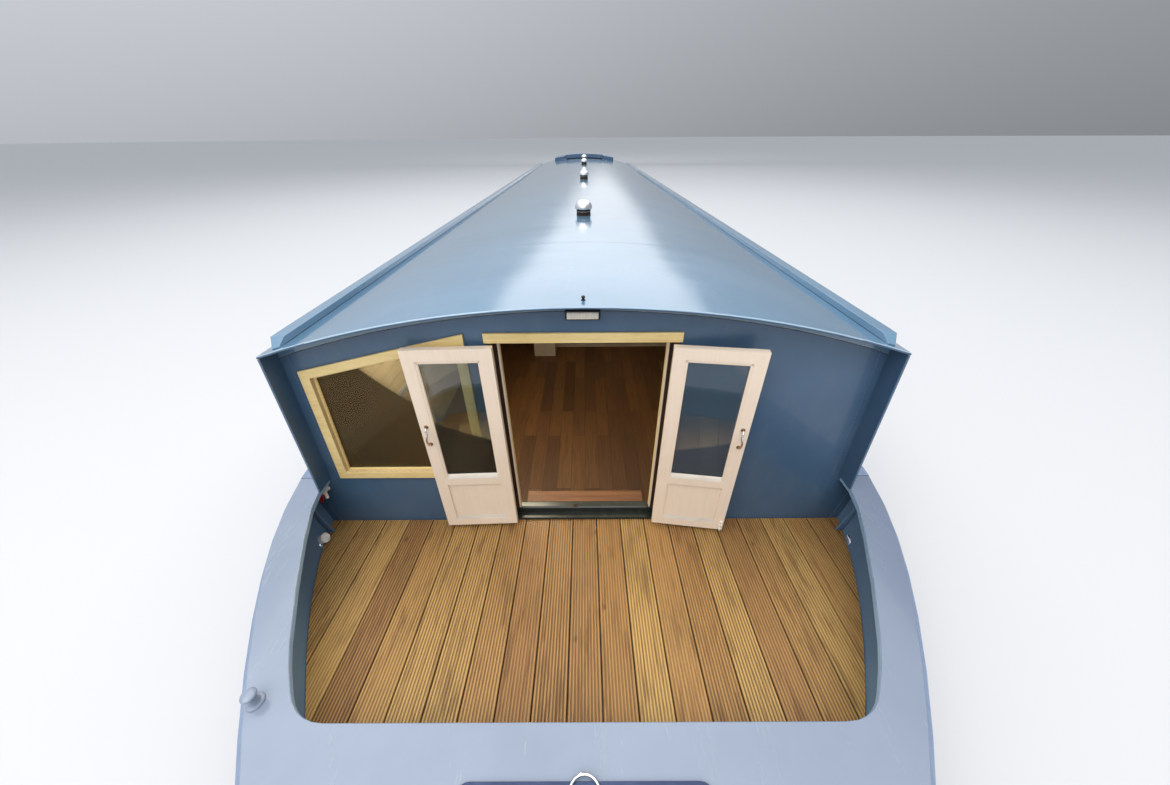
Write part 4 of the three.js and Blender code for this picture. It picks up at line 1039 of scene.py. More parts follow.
@dataclass
class Hull:
    """The steel hull, its gunwale and foredeck, and what is welded to them."""

    curve_angle: float = 28.0
    plate_edge: float = 0.01
    lining_below: float = 0.03
    knee_thick: float = 0.008
    knee_ahead: float = 0.106
    # Distance from the boat's middle, and height, of each corner of a knee
    knee_outline: tuple = ((1.590, 0.8085), (1.545, 0.8085), (1.612, 1.060), (1.632, 1.080))
    # Radius and height of each ring of a dolly
    dolly_profile: tuple = (
        (0.031, 0.0), (0.031, 0.004), (0.029, 0.0065), (0.020, 0.008), (0.0175, 0.012), (0.0162, 0.026),
        (0.0162, 0.040), (0.0185, 0.0445), (0.0235, 0.0475), (0.0255, 0.0515), (0.0258, 0.056),
        (0.024, 0.0595), (0.0175, 0.063), (0.009, 0.0646), (0.0, 0.0648),
    )
    bow_dolly_x: float = -1.177
    bow_dolly_ahead: float = 1.100
    stern_dolly_x: float = 1.180
    stern_dolly_y: float = 8.130
    tap_at: tuple = (-1.553, FRONT_WALL, 1.090)
    # Radius and height of each ring of the tap's body, from its flange out
    tap_profile: tuple = (
        (0.020, -0.001), (0.020, 0.004), (0.011, 0.006), (0.011, 0.020), (0.017, 0.022), (0.017, 0.038),
        (0.010, 0.042), (0.010, 0.050), (0.0, 0.051),
    )
    # The spout's bends, measured from the tap
    spout_bends: tuple = ((0.0, -0.030, 0.004), (0.005, -0.032, -0.022), (0.008, -0.037, -0.046))
    spout_radius: float = 0.0095
    # Sideways and upward distance of each corner of the lever from the tap
    lever_outline: tuple = ((-0.014, 0.012), (-0.036, -0.058), (-0.014, -0.066), (0.010, -0.005))
    lever_near: float = 0.050
    lever_far: float = 0.061
    # Radius and height of each ring of the drain pipe, with a collar and a hollow mouth
    pipe_profile: tuple = (
        (0.0250, 0.0), (0.0250, 0.050), (0.0290, 0.052), (0.0290, 0.062), (0.0250, 0.062), (0.0250, 0.052),
        (0.0, 0.052),
    )
    pipe_at: tuple = (-1.596, FRONT_WALL - 0.184, 0.836)
    pipe_lean: float = 62.0
    scupper_x: float = 1.596
    scupper_y: float = FRONT_WALL - 0.185
    scupper_z: float = 0.828
    scupper_width: float = 0.069
    scupper_height: float = 0.031
    scupper_depth: float = 0.055

    def build(self) -> None:
        """Builds the hull's pieces."""
        self.shell()
        self.knees()
        self.dollies()
        self.valve()
        self.scuppers()

    def shell(self) -> None:
        """Dresses the plating with rounded edges and smooth curves."""
        for node in ("hull_bow", "hull_stern"):
            piece = Bench.paint(Bench.refined(node, angle=self.curve_angle), HULL_ENAMEL)
            if node == "hull_bow":
                Bench.paint(piece, WELL_ENAMEL, self.in_well)
            place(piece, Body.BOAT, "hull_blue", node)
        for node in ("hull_side_port", "hull_side_starboard"):
            piece = Bench.paint(Bench.refined(node, angle=self.curve_angle), HULL_ENAMEL)
            side = 1.0 if node.endswith("port") else -1.0
            lined = GUNWALE - self.lining_below
            Bench.paint(piece, LINING, lambda centre, normal: side * normal.x < -0.9 and centre.z < lined)
            ahead = FRONT_WALL + self.plate_edge
            Bench.paint(piece, WALL_ENAMEL, lambda centre, normal: normal.y < -0.9 and centre.y < ahead)
            place(piece, Body.BOAT, "hull_blue", node)
        deck = Bench.paint(Bench.refined("foredeck", bevel=0.008, steps=3, angle=30.0), DECK_ENAMEL)
        # Painted highlight: the deck plate's rim round the well is paler than the deck
        Bench.paint(deck, LIP_HIGHLIGHT_ENAMEL, self.in_well)
        place(deck, Body.BOAT, "hull_blue", "foredeck")
        dress("baseplate", BLACKING)
        dress("hull_floor", BLACKING)

    @staticmethod
    def in_well(centre: Vector, normal: Vector) -> bool:
        """Returns whether a face stands round the well and looks into it."""
        if centre.z < WELL_DECK - 0.1 or abs(normal.z) > 0.6:
            return False
        return normal.dot(Vector((0.0, FRONT_WALL - 0.5, centre.z)) - centre) > 0.0

    def knees(self) -> None:
        """Adds the small triangular plates that stiffen the well's sides by the front wall."""
        for side, hand in ((1.0, "port"), (-1.0, "starboard")):
            points = [(side * x, z) for x, z in self.knee_outline]
            ahead = FRONT_WALL - self.knee_ahead
            piece = Bench.section(f"knee_{hand}", points, Axis.Y, ahead + self.knee_thick, ahead)
            Bench.soften(piece, 0.002)
            place(Bench.paint(piece, WELL_ENAMEL), Body.BOAT, "hull_blue")

    def dollies(self) -> None:
        """Turns the mooring dollies at the bow and stern."""
        pattern = Bench.turned("dolly_pattern", self.dolly_profile)
        Bench.paint(pattern, DECK_ENAMEL)
        spots = {
            "bow_dolly": (self.bow_dolly_x, FRONT_WALL - self.bow_dolly_ahead),
            "stern_dolly_port": (self.stern_dolly_x, self.stern_dolly_y),
            "stern_dolly_starboard": (-self.stern_dolly_x, self.stern_dolly_y),
        }
        for node, (x, y) in spots.items():
            piece = Bench.copy(pattern, node + "_turned", Matrix.Translation((x, y, GUNWALE + SEAT_GAP)))
            place(piece, Body.BOAT, "hull_blue", node)
        bpy.data.objects.remove(pattern)

    def valve(self) -> None:
        """Adds the red-handled tap under the gunwale and the white drain pipe below it."""
        at = Vector(self.tap_at)
        body = Bench.turned("tap_body", self.tap_profile, sides=18)
        Bench.settle(body, Matrix.Translation(at) @ Matrix.Rotation(math.pi / 2, 4, "X"))
        spout = Bench.tube("tap_spout", [at + Vector(bend) for bend in self.spout_bends], self.spout_radius)
        tap = Bench.join("well_tap", [body, spout])
        place(Bench.paint(tap, WHITE_PLASTIC), Body.BOAT, "steel")
        outline = [(at.x + aside, at.z + up) for aside, up in self.lever_outline]
        lever = Bench.section("tap_lever", outline, Axis.Y, at.y - self.lever_near, at.y - self.lever_far)
        place(Bench.paint(Bench.soften(lever, 0.003), RED_PLASTIC), Body.BOAT, "steel")
        pipe = Bench.turned("drain_pipe", self.pipe_profile, sides=24)
        lean = Matrix.Rotation(math.radians(self.pipe_lean), 4, "Y")
        Bench.settle(pipe, Matrix.Translation(self.pipe_at) @ lean)
        place(Bench.paint(pipe, WHITE_PLASTIC), Body.BOAT, "off_white")

    def scuppers(self) -> None:
        """Lines the scuppers with black rubber sleeves, which also darken the holes as painted shade."""
        for side, hand in ((1.0, "port"), (-1.0, "starboard")):
            shade_sleeve = Bench.ring(
                f"scupper_sleeve_{hand}",
                width=self.scupper_width,
                height=self.scupper_height,
                radius=0.0005,
                band=0.003,
                thick=self.scupper_depth,
            )
            turn = Matrix(((0.0, 0.0, side), (1.0, 0.0, 0.0), (0.0, 1.0, 0.0))).to_4x4()
            Bench.settle(
                shade_sleeve, Matrix.Translation((side * self.scupper_x, self.scupper_y, self.scupper_z)) @ turn
            )
            # The black sleeve stands for the shade inside the hole: painted shade
            place(Bench.paint(shade_sleeve, RUBBER), Body.BOAT, "blacking")


@dataclass
class Decking:
    """The grooved boards of the well deck, cut to the well's outline, on three bearers."""

    pitch: float = BOARD_PITCH
    width: float = 0.144
    thick: float = 0.028
    bearer: float = 0.045
    grooves: int = 9
    groove_pitch: float = GROOVE_PITCH
    groove_depth: float = 0.003
    groove_top: float = 0.0038
    groove_foot: float = 0.0022
    corner: float = 0.003
    boards: int = 23
    reach: float = 1.25
    bearers_ahead: tuple = (0.060, 0.560, 1.080)
    bearer_reach: float = 1.6
    bearer_gap: float = 0.0005
    bearer_sunk: float = 0.003
    cutter_foot: float = 0.6
    cutter_head: float = 1.0

    def groove_points(self) -> list:
        """Returns the top line of one board's section, from port to starboard."""
        half = self.width / 2
        points = [(half, -self.corner), (half - self.corner, 0.0)]
        for step in range(self.grooves):
            middle = ((self.grooves - 1) / 2 - step) * self.groove_pitch
            points += [
                (middle + self.groove_top, 0.0),
                (middle + self.groove_foot, -self.groove_depth),
                (middle - self.groove_foot, -self.groove_depth),
                (middle - self.groove_top, 0.0),
            ]
        return [*points, (-half + self.corner, 0.0), (-half, -self.corner)]

    def outline(self) -> list:
        """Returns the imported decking's outer line, seen from above."""
        found = {(round(v.co.x, 4), round(v.co.y, 4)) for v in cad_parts["decking"].data.vertices}
        line = []
        for points in (sorted(found), sorted(found, reverse=True)):
            chain = []
            for point in points:
                while len(chain) > 1 and self.turns_in(chain[-2], chain[-1], point):
                    chain.pop()
                chain.append(point)
            line += chain[:-1]
        return line

    @staticmethod
    def turns_in(a: tuple, b: tuple, c: tuple) -> bool:
        """Returns whether a path through three points bends inwards or runs straight."""
        return (b[0] - a[0]) * (c[1] - a[1]) - (b[1] - a[1]) * (c[0] - a[0]) <= 0

    def build(self) -> None:
        """Cuts and lays the boards."""
        low = WELL_DECK - self.thick
        half = self.width / 2
        outline = [*((x, WELL_DECK + z) for x, z in self.groove_points()), (-half, low), (half, low)]
        rise = self.reach * math.tan(DECK_RISE)
        pattern = Bench.section("board_pattern", outline, Axis.Y, FRONT_WALL, FRONT_WALL - self.reach, rise)
        middle = (self.boards - 1) / 2
        pieces = []
        for step in range(self.boards):
            spot = Matrix.Translation(((step - middle) * self.pitch, 0.0, 0.0))
            pieces.append(Bench.copy(pattern, f"board_{step}", spot))
        bpy.data.objects.remove(pattern)
        for step, ahead in enumerate(self.bearers_ahead):
            under = low + ahead * math.tan(DECK_RISE)
            foot = under - self.bearer + self.bearer_sunk
            near = (-self.bearer_reach, FRONT_WALL - ahead - self.bearer, foot)
            far = (self.bearer_reach, FRONT_WALL - ahead, under - self.bearer_gap)
            pieces.append(Bench.block(f"bearer_{step}", near, far))
        deck = Bench.join("deck_boards", pieces)
        cutter = Bench.section("well_outline", self.outline(), Axis.Z, self.cutter_foot, self.cutter_head)
        Bench.shape(deck, cutter, "INTERSECT")
        Bench.smooth(deck, 20.0)
        place(Bench.paint(deck, DECKING), Body.BOAT, "decking", "decking")


@dataclass
class Cabin:
    """The steel cabin: sides with their wings and windows, end walls and the lining inside."""

    window_width: float = 1.100
    window_height: float = 0.500
    window_radius: float = 0.070
    window_height_at: float = 1.610
    windows: tuple = (-4.450, -0.900, 2.650)
    foot: float = 1.510
    lean: float = 0.05194
    frame_lap: float = 0.025
    frame_band: float = 0.034
    frame_thick: float = 0.006
    frame_off: float = 0.0005
    seal_play: float = 0.001
    seal_band: float = 0.014
    seal_thick: float = 0.012
    seal_sunk: float = 0.0135

    def build(self) -> None:
        """Builds the walls and dresses the windows."""
        for side, hand in ((1.0, "port"), (-1.0, "starboard")):
            node = f"cabin_side_{hand}"
            piece = Bench.paint(Bench.refined(node, bevel=0.0015, steps=1), WALL_ENAMEL)
            Bench.paint(
                piece, LINING, lambda centre, normal: side * normal.x < -0.9 and centre.y > FRONT_WALL
            )
            place(piece, Body.BOAT, "wall_blue", node)
            for number, middle in enumerate(self.windows, 1):
                self.window(side, hand, number, middle)
        front = Bench.paint(Bench.refined("front_bulkhead"), WALL_ENAMEL)
        Bench.paint(front, LINING, lambda centre, normal: normal.y > 0.9)
        place(front, Body.BOAT, "wall_blue", "front_bulkhead")
        aft = Bench.paint(Bench.refined("aft_bulkhead"), WALL_ENAMEL)
        Bench.paint(aft, LINING, lambda centre, normal: normal.y < -0.9)
        place(aft, Body.BOAT, "wall_blue", "aft_bulkhead")

    def seat(self, side: float, middle: float, out: float) -> Matrix:
        """Returns the frame of a side window: X along the boat, Y up the leaning side, Z outwards."""
        x = self.foot - self.lean * (self.window_height_at - GUNWALE) + out
        cosine, sine = math.cos(self.lean), math.sin(self.lean)
        along = Vector((0.0, side, 0.0))
        up = Vector((-side * sine, 0.0, cosine))
        outward = along.cross(up)
        turn = Matrix((along, up, outward)).transposed().to_4x4()
        return Matrix.Translation((side * x, middle, self.window_height_at)) @ turn

    def window(self, side: float, hand: str, number: int, middle: float) -> None:
        """Fits one side window with its frame, its rubber and its glass.

        Args:
            side: 1 for port and -1 for starboard.
            hand: the side's name.
            number: the window's number, from the front.
            middle: where its middle is along the boat.
        """
        width, height, radius = self.window_width, self.window_height, self.window_radius
        lap, play = self.frame_lap, self.seal_play
        outer = Bench.ring(
            f"side_frame_{hand}_{number}",
            width=width + 2 * lap,
            height=height + 2 * lap,
            radius=radius + lap,
            band=self.frame_band,
            thick=self.frame_thick,
        )
        Bench.soften(outer, 0.002)
        Bench.settle(outer, self.seat(side, middle, self.frame_off))
        place(Bench.paint(outer, ALUMINIUM), Body.BOAT, "steel")
        seal = Bench.ring(
            f"side_seal_{hand}_{number}",
            width=width - 2 * play,
            height=height - 2 * play,
            radius=radius - play,
            band=self.seal_band,
            thick=self.seal_thick,
        )
        Bench.settle(seal, self.seat(side, middle, -self.seal_sunk))
        place(Bench.paint(seal, RUBBER), Body.BOAT, "steel")
        dress(f"side_glass_{hand}_{number}", GLASS)


@dataclass
class Roof:
    """The cambered roof with its rails, vents, stud, door lamp and sliding hatch."""

    # How far each vent stands behind the front wall
    vents: tuple = (2.140, 5.590, 9.320, 11.494)
    vent_sides: int = 48
    # Radius and height of each ring
    gauze_profile: tuple = ((0.063, 0.0), (0.063, 0.004), (0.061, 0.006), (0.061, 0.051))
    band_profile: tuple = ((0.0605, 0.0285), (0.0632, 0.0285), (0.0632, 0.0325), (0.0605, 0.0325))
    cap_profile: tuple = (
        (0.060, 0.051), (0.072, 0.0500), (0.0748, 0.051), (0.076, 0.055), (0.0757, 0.062), (0.0735, 0.074),
        (0.069, 0.087), (0.062, 0.098), (0.053, 0.107), (0.041, 0.1145), (0.027, 0.1195), (0.012, 0.1224),
        (0.0, 0.123),
    )
    louvre_heights: tuple = (0.012, 0.021, 0.039, 0.047)
    louvre_inner: float = 0.0605
    louvre_outer: float = 0.063
    stud_profile: tuple = (
        (0.010, 0.0), (0.010, 0.002), (0.006, 0.003), (0.0055, 0.010), (0.0085, 0.012), (0.0085, 0.016),
        (0.005, 0.020), (0.0, 0.021),
    )
    stud_x: float = 0.002
    stud_behind: float = 0.080
    lamp_port: float = 0.077
    lamp_starboard: float = -0.080
    lamp_foot: float = 2.166
    lamp_head: float = 2.212
    lamp_depth: float = 0.026
    lens_depth: float = 0.030
    lens_inset: float = 0.008
    lens_border: float = 0.007
    ribs: int = 11
    rib_pitch: float = 0.0125
    rib_width: float = 0.006
    rib_start: float = -0.068
    rib_inset: float = 0.010

    def build(self) -> None:
        """Builds the roof and what stands on it."""
        skin = Bench.paint(Bench.refined("roof", bevel=0.005, steps=3, angle=40.0), ROOF_ENAMEL)
        Bench.paint(skin, WALL_ENAMEL, lambda centre, normal: normal.z < 0.3 and centre.y < FRONT_WALL)
        Bench.paint(
            skin, LINING, lambda centre, normal: normal.z < -0.5 and FRONT_WALL < centre.y < AFT_WALL
        )
        # Painted highlight along the rounding of the roof's front edge
        Bench.paint(skin, ROOF_EDGE_HIGHLIGHT, self.on_front_lip)
        place(skin, Body.BOAT, "roof_blue", "roof")
        for hand in ("port", "starboard"):
            rail = Bench.refined(f"handrail_{hand}", bevel=0.006, steps=3, angle=35.0)
            place(Bench.paint(rail, ROOF_ENAMEL), Body.BOAT, "roof_blue", f"handrail_{hand}")
        self.mushrooms()
        self.stud()
        self.lamp()
        self.hatch()

    @staticmethod
    def on_front_lip(centre: Vector, normal: Vector) -> bool:
        """Returns whether a face lies on the roof's front rounding, which gets a painted highlight."""
        return centre.y < FRONT_WALL and normal.y < -0.2 and normal.z > 0.25

    def mushrooms(self) -> None:
        """Turns the mushroom vents: a dark louvred body with a thin band, and a bright domed cap."""
        gauze = Bench.turned("vent_gauze", self.gauze_profile, self.vent_sides)
        Bench.paint(gauze, GAUZE)
        inner, outer = self.louvre_inner, self.louvre_outer
        rings = []
        for height in self.louvre_heights:
            slope = [
                (inner, height - 0.003),
                (outer, height - 0.0035),
                (outer, height - 0.002),
                (inner, height + 0.0005),
            ]
            rings.append(Bench.turned("vent_louvre", slope, self.vent_sides))
        louvres = Bench.paint(Bench.join("vent_louvres", rings), GAUZE)
        band = Bench.turned("vent_band", self.band_profile, self.vent_sides)
        Bench.paint(band, ALUMINIUM)
        cap = Bench.turned("vent_cap", self.cap_profile, self.vent_sides)
        Bench.paint(cap, CAP_METAL)
        pattern = Bench.join("vent_pattern", [cap, band, gauze, louvres])
        for number, behind in enumerate(self.vents, 1):
            spot = Matrix.Translation((0.0, FRONT_WALL + behind, ROOF_CROWN + SEAT_GAP))
            piece = Bench.copy(pattern, f"mushroom_vent_{number}", spot)
            place(piece, Body.BOAT, "steel", f"roof_vent_{number}")
        bpy.data.objects.remove(pattern)

    def stud(self) -> None:
        """Adds the small domed stud behind the roof's front edge."""
        stud = Bench.turned("roof_stud", self.stud_profile, sides=20)
        Bench.settle(stud, Matrix.Translation((self.stud_x, ROOF_FRONT + self.stud_behind, ROOF_CROWN)))
        place(Bench.paint(stud, RUBBER), Body.BOAT, "steel")

    def lamp(self) -> None:
        """Adds the lamp over the front doors: a black surround and a ribbed, blank lens."""
        face = FRONT_WALL
        foot, head = self.lamp_foot, self.lamp_head
        inset, border = self.lens_inset, self.lens_border
        low = (self.lamp_starboard, face - self.lamp_depth, foot)
        case = Bench.block("lamp_case", low, (self.lamp_port, face, head), 0.005)
        place(Bench.paint(case, RUBBER), Body.BOAT, "steel")
        lens = Bench.block(
            "lens_back",
            (self.lamp_starboard + inset, face - self.lens_depth, foot + border),
            (self.lamp_port - inset, face - self.lens_depth + 0.010, head - border),
            0.002,
        )
        ribs = []
        for step in range(self.ribs):
            left = self.rib_start + step * self.rib_pitch
            low = (left, face - self.lens_depth - 0.003, foot + self.rib_inset)
            high = (left + self.rib_width, face - self.lens_depth + 0.002, head - self.rib_inset)
            ribs.append(Bench.block(f"lens_rib_{step}", low, high, 0.0015))
        whole = Bench.join("lamp_lens", [lens, *ribs])
        place(Bench.paint(whole, LENS), Body.BOAT, "steel")

    def hatch(self) -> None:
        """Dresses the sliding hatch and the raised sides and runners that carry it."""
        coaming = Bench.paint(Bench.refined("hatch_coaming", bevel=0.002, angle=40.0), WALL_ENAMEL)
        place(coaming, Body.BOAT, "wall_blue", "hatch_coaming")
        cover = Bench.paint(Bench.refined("sliding_hatch", bevel=0.003, angle=40.0), WALL_ENAMEL)
        Bench.paint(cover, ROOF_ENAMEL, lambda centre, normal: normal.z > 0.7)
        place(cover, Body.HATCH, "navy", "sliding_hatch")


@dataclass
class FrontEnd:
    """The doorway, its threshold and leaves, and the front window beside it."""

    pin_x: float = 0.425
    pin_y: float = -6.0933
    back: float = FRONT_WALL + 0.021
    rest_starboard: float = 178.0
    rest_port: float = 172.0
    # The jambs' inner faces, the head's foot, the weather bar's front, and where the hinge plates lie
    jamb_face: float = 0.4154
    head_foot: float = 2.0495
    nose_face: float = -6.0395
    plate_edge: float = 0.4290
    plate_face: float = -6.0865
    plate_head: float = 2.04
    # The front window's casing: its sill, its sloping head and its leaning starboard side
    casing_foot: float = 1.181
    casing_head_starboard: float = 1.902
    casing_head_port: float = 2.096
    casing_starboard_foot: float = -1.433
    casing_starboard_head: float = -1.396
    casing_port: float = -0.557
    # Outer corners of the glass's bead, across and up
    bead_corners: tuple = ((-1.3823, 1.2292), (-0.6052, 1.2292), (-0.6052, 2.0354), (-1.3497, 1.8632))
    bead_inset: float = 0.016
    # On the closed starboard leaf: the edge that its knuckles lie past, and where its plates lie
    knuckle_edge: float = -0.4285
    leaf_plate_face: float = -6.0885
    leaf_plate_edge: float = -0.38
    # Lowest and highest height of the ledge under the glass, and of the one under the panel
    ledges: tuple = ((1.20, 1.27), (0.87, 0.92))
    glass_low: tuple = (-0.428, 1.222)
    glass_high: tuple = (-0.004, 1.984)
    glass_bead_width: float = 0.304
    glass_bead_height: float = 0.762
    handle_x: float = -0.036
    handle_foot: float = 1.492
    handle_head: float = 1.606
    bolt_x: float = -0.020

    def build(self) -> None:
        """Builds the frame, the threshold, both leaves and the window."""
        jamb = Bench.refined("door_frame", bevel=0.002, angle=30.0)
        face, foot = self.jamb_face, self.head_foot
        Bench.split(jamb, (0.0, 0.0, foot), (0, 0, 1))
        Bench.split(jamb, (face, 0.0, 0.0), (1, 0, 0))
        Bench.split(jamb, (-face, 0.0, 0.0), (1, 0, 0))
        Bench.paint(jamb, CREAM_UPRIGHT)
        # The jambs' rebates: dark wood, darkened further as painted shade
        Bench.paint(jamb, JAMB_WOOD_AND_SHADE, lambda centre, normal: abs(centre.x) > face and centre.z < foot)
        Bench.paint(
            jamb, OFF_WHITE, lambda centre, normal: abs(centre.x) < face and centre.y < self.nose_face
        )
        Bench.paint(jamb, CREAM_ACROSS, lambda centre, normal: centre.z > foot)
        Bench.paint(jamb, BRASS, self.on_jamb_plate)
        place(jamb, Body.BOAT, "cream", "door_frame")
        sill = Bench.paint(Bench.refined("door_threshold", bevel=0.002), SILL)
        place(sill, Body.BOAT, "sill", "door_threshold")
        self.striker()
        self.window()
        self.leaf("starboard", Body.LEAF_STARBOARD)
        self.leaf("port", Body.LEAF_PORT)

    def on_jamb_plate(self, centre: Vector, normal: Vector) -> bool:
        """Returns whether a face of the frame belongs to the jambs' hinge plates."""
        outside = abs(centre.x) > self.plate_edge and centre.y < self.plate_face
        return outside and centre.z < self.plate_head

    def striker(self) -> None:
        """Adds the small plated keep on the threshold that the leaves bolt into."""
        near, far, middle = FRONT_WALL + 0.040, FRONT_WALL + 0.062, FRONT_WALL + 0.051
        plate = Bench.block("threshold_keep", (-0.082, near, 0.8615), (-0.044, far, 0.8645), 0.001)
        profile = [(0.007, 0.0), (0.007, 0.003), (0.005, 0.005), (0.0, 0.0052)]
        cup = Bench.turned("keep_cup", profile, sides=16)
        Bench.settle(cup, Matrix.Translation((-0.063, middle, 0.864)))
        place(Bench.paint(Bench.join("threshold_keep", [plate, cup]), GAUZE), Body.BOAT, "steel")

    def window(self) -> None:
        """Dresses the front window's mitred frame, its reveal and its glass."""
        face = FRONT_WALL - 0.014
        casing = Bench.refined("window_frame", bevel=0.0025, angle=30.0)
        Bench.paint(casing, CREAM_UPRIGHT)
        Bench.paint(casing, CREAM_ACROSS, lambda centre, normal: self.runs_across(centre))
        Bench.paint(casing, REVEAL, lambda centre, normal: centre.y > face + 0.004 and abs(normal.y) < 0.5)
        place(casing, Body.BOAT, "cream", "window_frame")
        # The front window's glass carries painted light of the interior
        dress("window_glass", PAINTED_INTERIOR_GLASS)
        self.glazing_bead()

    def runs_across(self, centre: Vector) -> bool:
        """Returns whether a point of the window frame lies on its sill or head rail."""
        foot, shoulder = self.casing_foot, self.casing_head_starboard
        across = (centre.x - self.casing_starboard_head) / (self.casing_port - self.casing_starboard_head)
        head = shoulder + across * (self.casing_head_port - shoulder)
        climb = (centre.z - foot) / (shoulder - foot)
        edge = self.casing_starboard_foot + climb * (self.casing_starboard_head - self.casing_starboard_foot)
        side = min(centre.x - edge, self.casing_port - centre.x)
        return min(centre.z - foot, head - centre.z) < side

    def glazing_bead(self) -> None:
        """Adds the thin bead that holds the front glass in its rebate."""
        corners = self.bead_corners
        centre = Vector((sum(x for x, _ in corners) / 4, sum(z for _, z in corners) / 4))
        pieces = []
        for number, (start, end) in enumerate(zip(corners, corners[1:] + corners[:1])):
            a, b = Vector(start), Vector(end)
            from_a = (centre - a).normalized() * self.bead_inset
            from_b = (centre - b).normalized() * self.bead_inset
            outline = [tuple(a), tuple(b), tuple(b + from_b), tuple(a + from_a)]
            bar = Bench.section(f"bead_{number}", outline, Axis.Y, FRONT_WALL + 0.008, FRONT_WALL + 0.0195)
            pieces.append(Bench.soften(bar, 0.0015, steps=1))
        bead = Bench.join("window_bead", pieces)
        place(Bench.paint(bead, CREAM_ACROSS), Body.BOAT, "cream")

    def swing(self, hand: str) -> Matrix:
        """Returns the move of a leaf from its closed starboard shape to where it hangs at rest."""
        starboard = hand == "starboard"
        angle = self.rest_starboard if starboard else self.rest_port
        pin = Matrix.Translation((-self.pin_x, self.pin_y, 0.0))
        turn = pin @ Matrix.Rotation(-math.radians(angle), 4, "Z") @ pin.inverted()
        return turn if starboard else Matrix.Scale(-1.0, 4, (1.0, 0.0, 0.0)) @ turn

    def leaf(self, hand: str, body: Body) -> None:
        """Builds one half-glazed leaf with its mouldings and fittings.

        Args:
            hand: the side that it hangs on.
            body: the body that it turns with.
        """
        move = self.swing(hand)
        home = move.inverted()
        wood = Bench.refined(f"front_door_{hand}", bevel=0.0022, angle=30.0)
        Bench.paint(wood, OFF_WHITE)

        def is_hinge(centre: Vector, normal: Vector) -> bool:
            """Returns whether a face belongs to the knuckles or their plates."""
            at = home @ centre
            on_plate = at.y < self.leaf_plate_face and at.x < self.leaf_plate_edge
            return at.x < self.knuckle_edge or on_plate

        def is_ledge(centre: Vector, normal: Vector) -> bool:
            """Returns whether a face is one of the sloping ledges under the glass and the panel."""
            return normal.z > 0.2 and any(low < centre.z < high for low, high in self.ledges)

        Bench.paint(wood, BRIGHT_WHITE, is_ledge)
        Bench.paint(wood, BRASS, is_hinge)
        place(wood, body, "off_white", f"front_door_{hand}")
        # The port leaf's glass carries a painted reflection of the sky
        dress(f"door_glass_{hand}", PAINTED_SKY_GLASS if hand == "port" else GLASS)
        bead = Bench.settle(self.glass_bead(f"glass_bead_{hand}"), move)
        place(Bench.paint(bead, OFF_WHITE), body, "off_white")
        handle = Bench.settle(self.handle(), move)
        place(handle, body, "steel")
        if hand == "port":
            bolt = Bench.settle(self.bolt(), move)
            place(Bench.paint(bolt, BRIGHT_WHITE), body, "off_white")

    def glass_bead(self, name: str) -> Object:
        """Makes the bead round the leaf's glass; its foot is sunk in the ledge."""
        bead = Bench.ring(
            name, self.glass_bead_width, self.glass_bead_height, radius=0.0005, band=0.012, thick=0.010
        )
        x = (self.glass_low[0] + self.glass_high[0]) / 2
        z = (self.glass_low[1] + self.glass_high[1]) / 2
        stand = Matrix.Rotation(-math.pi / 2, 4, "X")
        Bench.settle(bead, Matrix.Translation((x, self.back - 0.0125, z)) @ stand)
        return Bench.soften(bead, 0.002)

    def handle(self) -> Object:
        """Makes the bowed pull handle on the leaf's free stile, with its dark rosettes."""
        x, out = self.handle_x, self.back
        foot, head = self.handle_foot, self.handle_head
        bends = [
            (x, out + 0.004, foot),
            (x, out + 0.020, foot + 0.008),
            (x + 0.004, out + 0.027, foot + 0.038),
            (x, out + 0.029, foot + 0.060),
            (x - 0.004, out + 0.026, head - 0.032),
            (x, out + 0.018, head - 0.008),
            (x, out + 0.004, head),
        ]
        bow = Bench.paint(Bench.tube("bow", bends, radius=0.0048), CHROME)
        profile = [(0.011, 0.0), (0.011, 0.002), (0.008, 0.004), (0.0062, 0.009), (0.0, 0.010)]
        ends = []
        for height in (foot, head):
            end = Bench.turned("rosette", profile, sides=20)
            stand = Matrix.Translation((x, out, height)) @ Matrix.Rotation(-math.pi / 2, 4, "X")
            ends.append(Bench.paint(Bench.settle(end, stand), BRASS))
        return Bench.join("door_handle", [bow, *ends])

    def bolt(self) -> Object:
        """Makes the small painted bolt at the port leaf's free corner."""
        x, out = self.bolt_x, self.back
        plate = Bench.block("bolt_plate", (x - 0.012, out, 0.842), (x + 0.012, out + 0.003, 0.912), 0.001)
        rod = Bench.turned("bolt_rod", [(0.0055, 0.0), (0.0055, 0.074), (0.0, 0.076)], sides=16)
        Bench.settle(rod, Matrix.Translation((x, out + 0.008, 0.838)))
        profile = [(0.004, 0.0), (0.004, 0.008), (0.007, 0.010), (0.007, 0.016), (0.0, 0.019)]
        knob = Bench.turned("bolt_knob", profile, sides=16)
        stand = Matrix.Translation((x, out + 0.010, 0.896)) @ Matrix.Rotation(-math.pi / 2, 4, "X")
        Bench.settle(knob, stand)
        guides = []
        for step, z in enumerate((0.850, 0.874)):
            low, high = (x - 0.010, out + 0.002, z), (x + 0.010, out + 0.0155, z + 0.010)
            guides.append(Bench.block(f"bolt_guide_{step}", low, high, 0.002))
        return Bench.join("door_bolt", [plate, rod, knob, *guides])


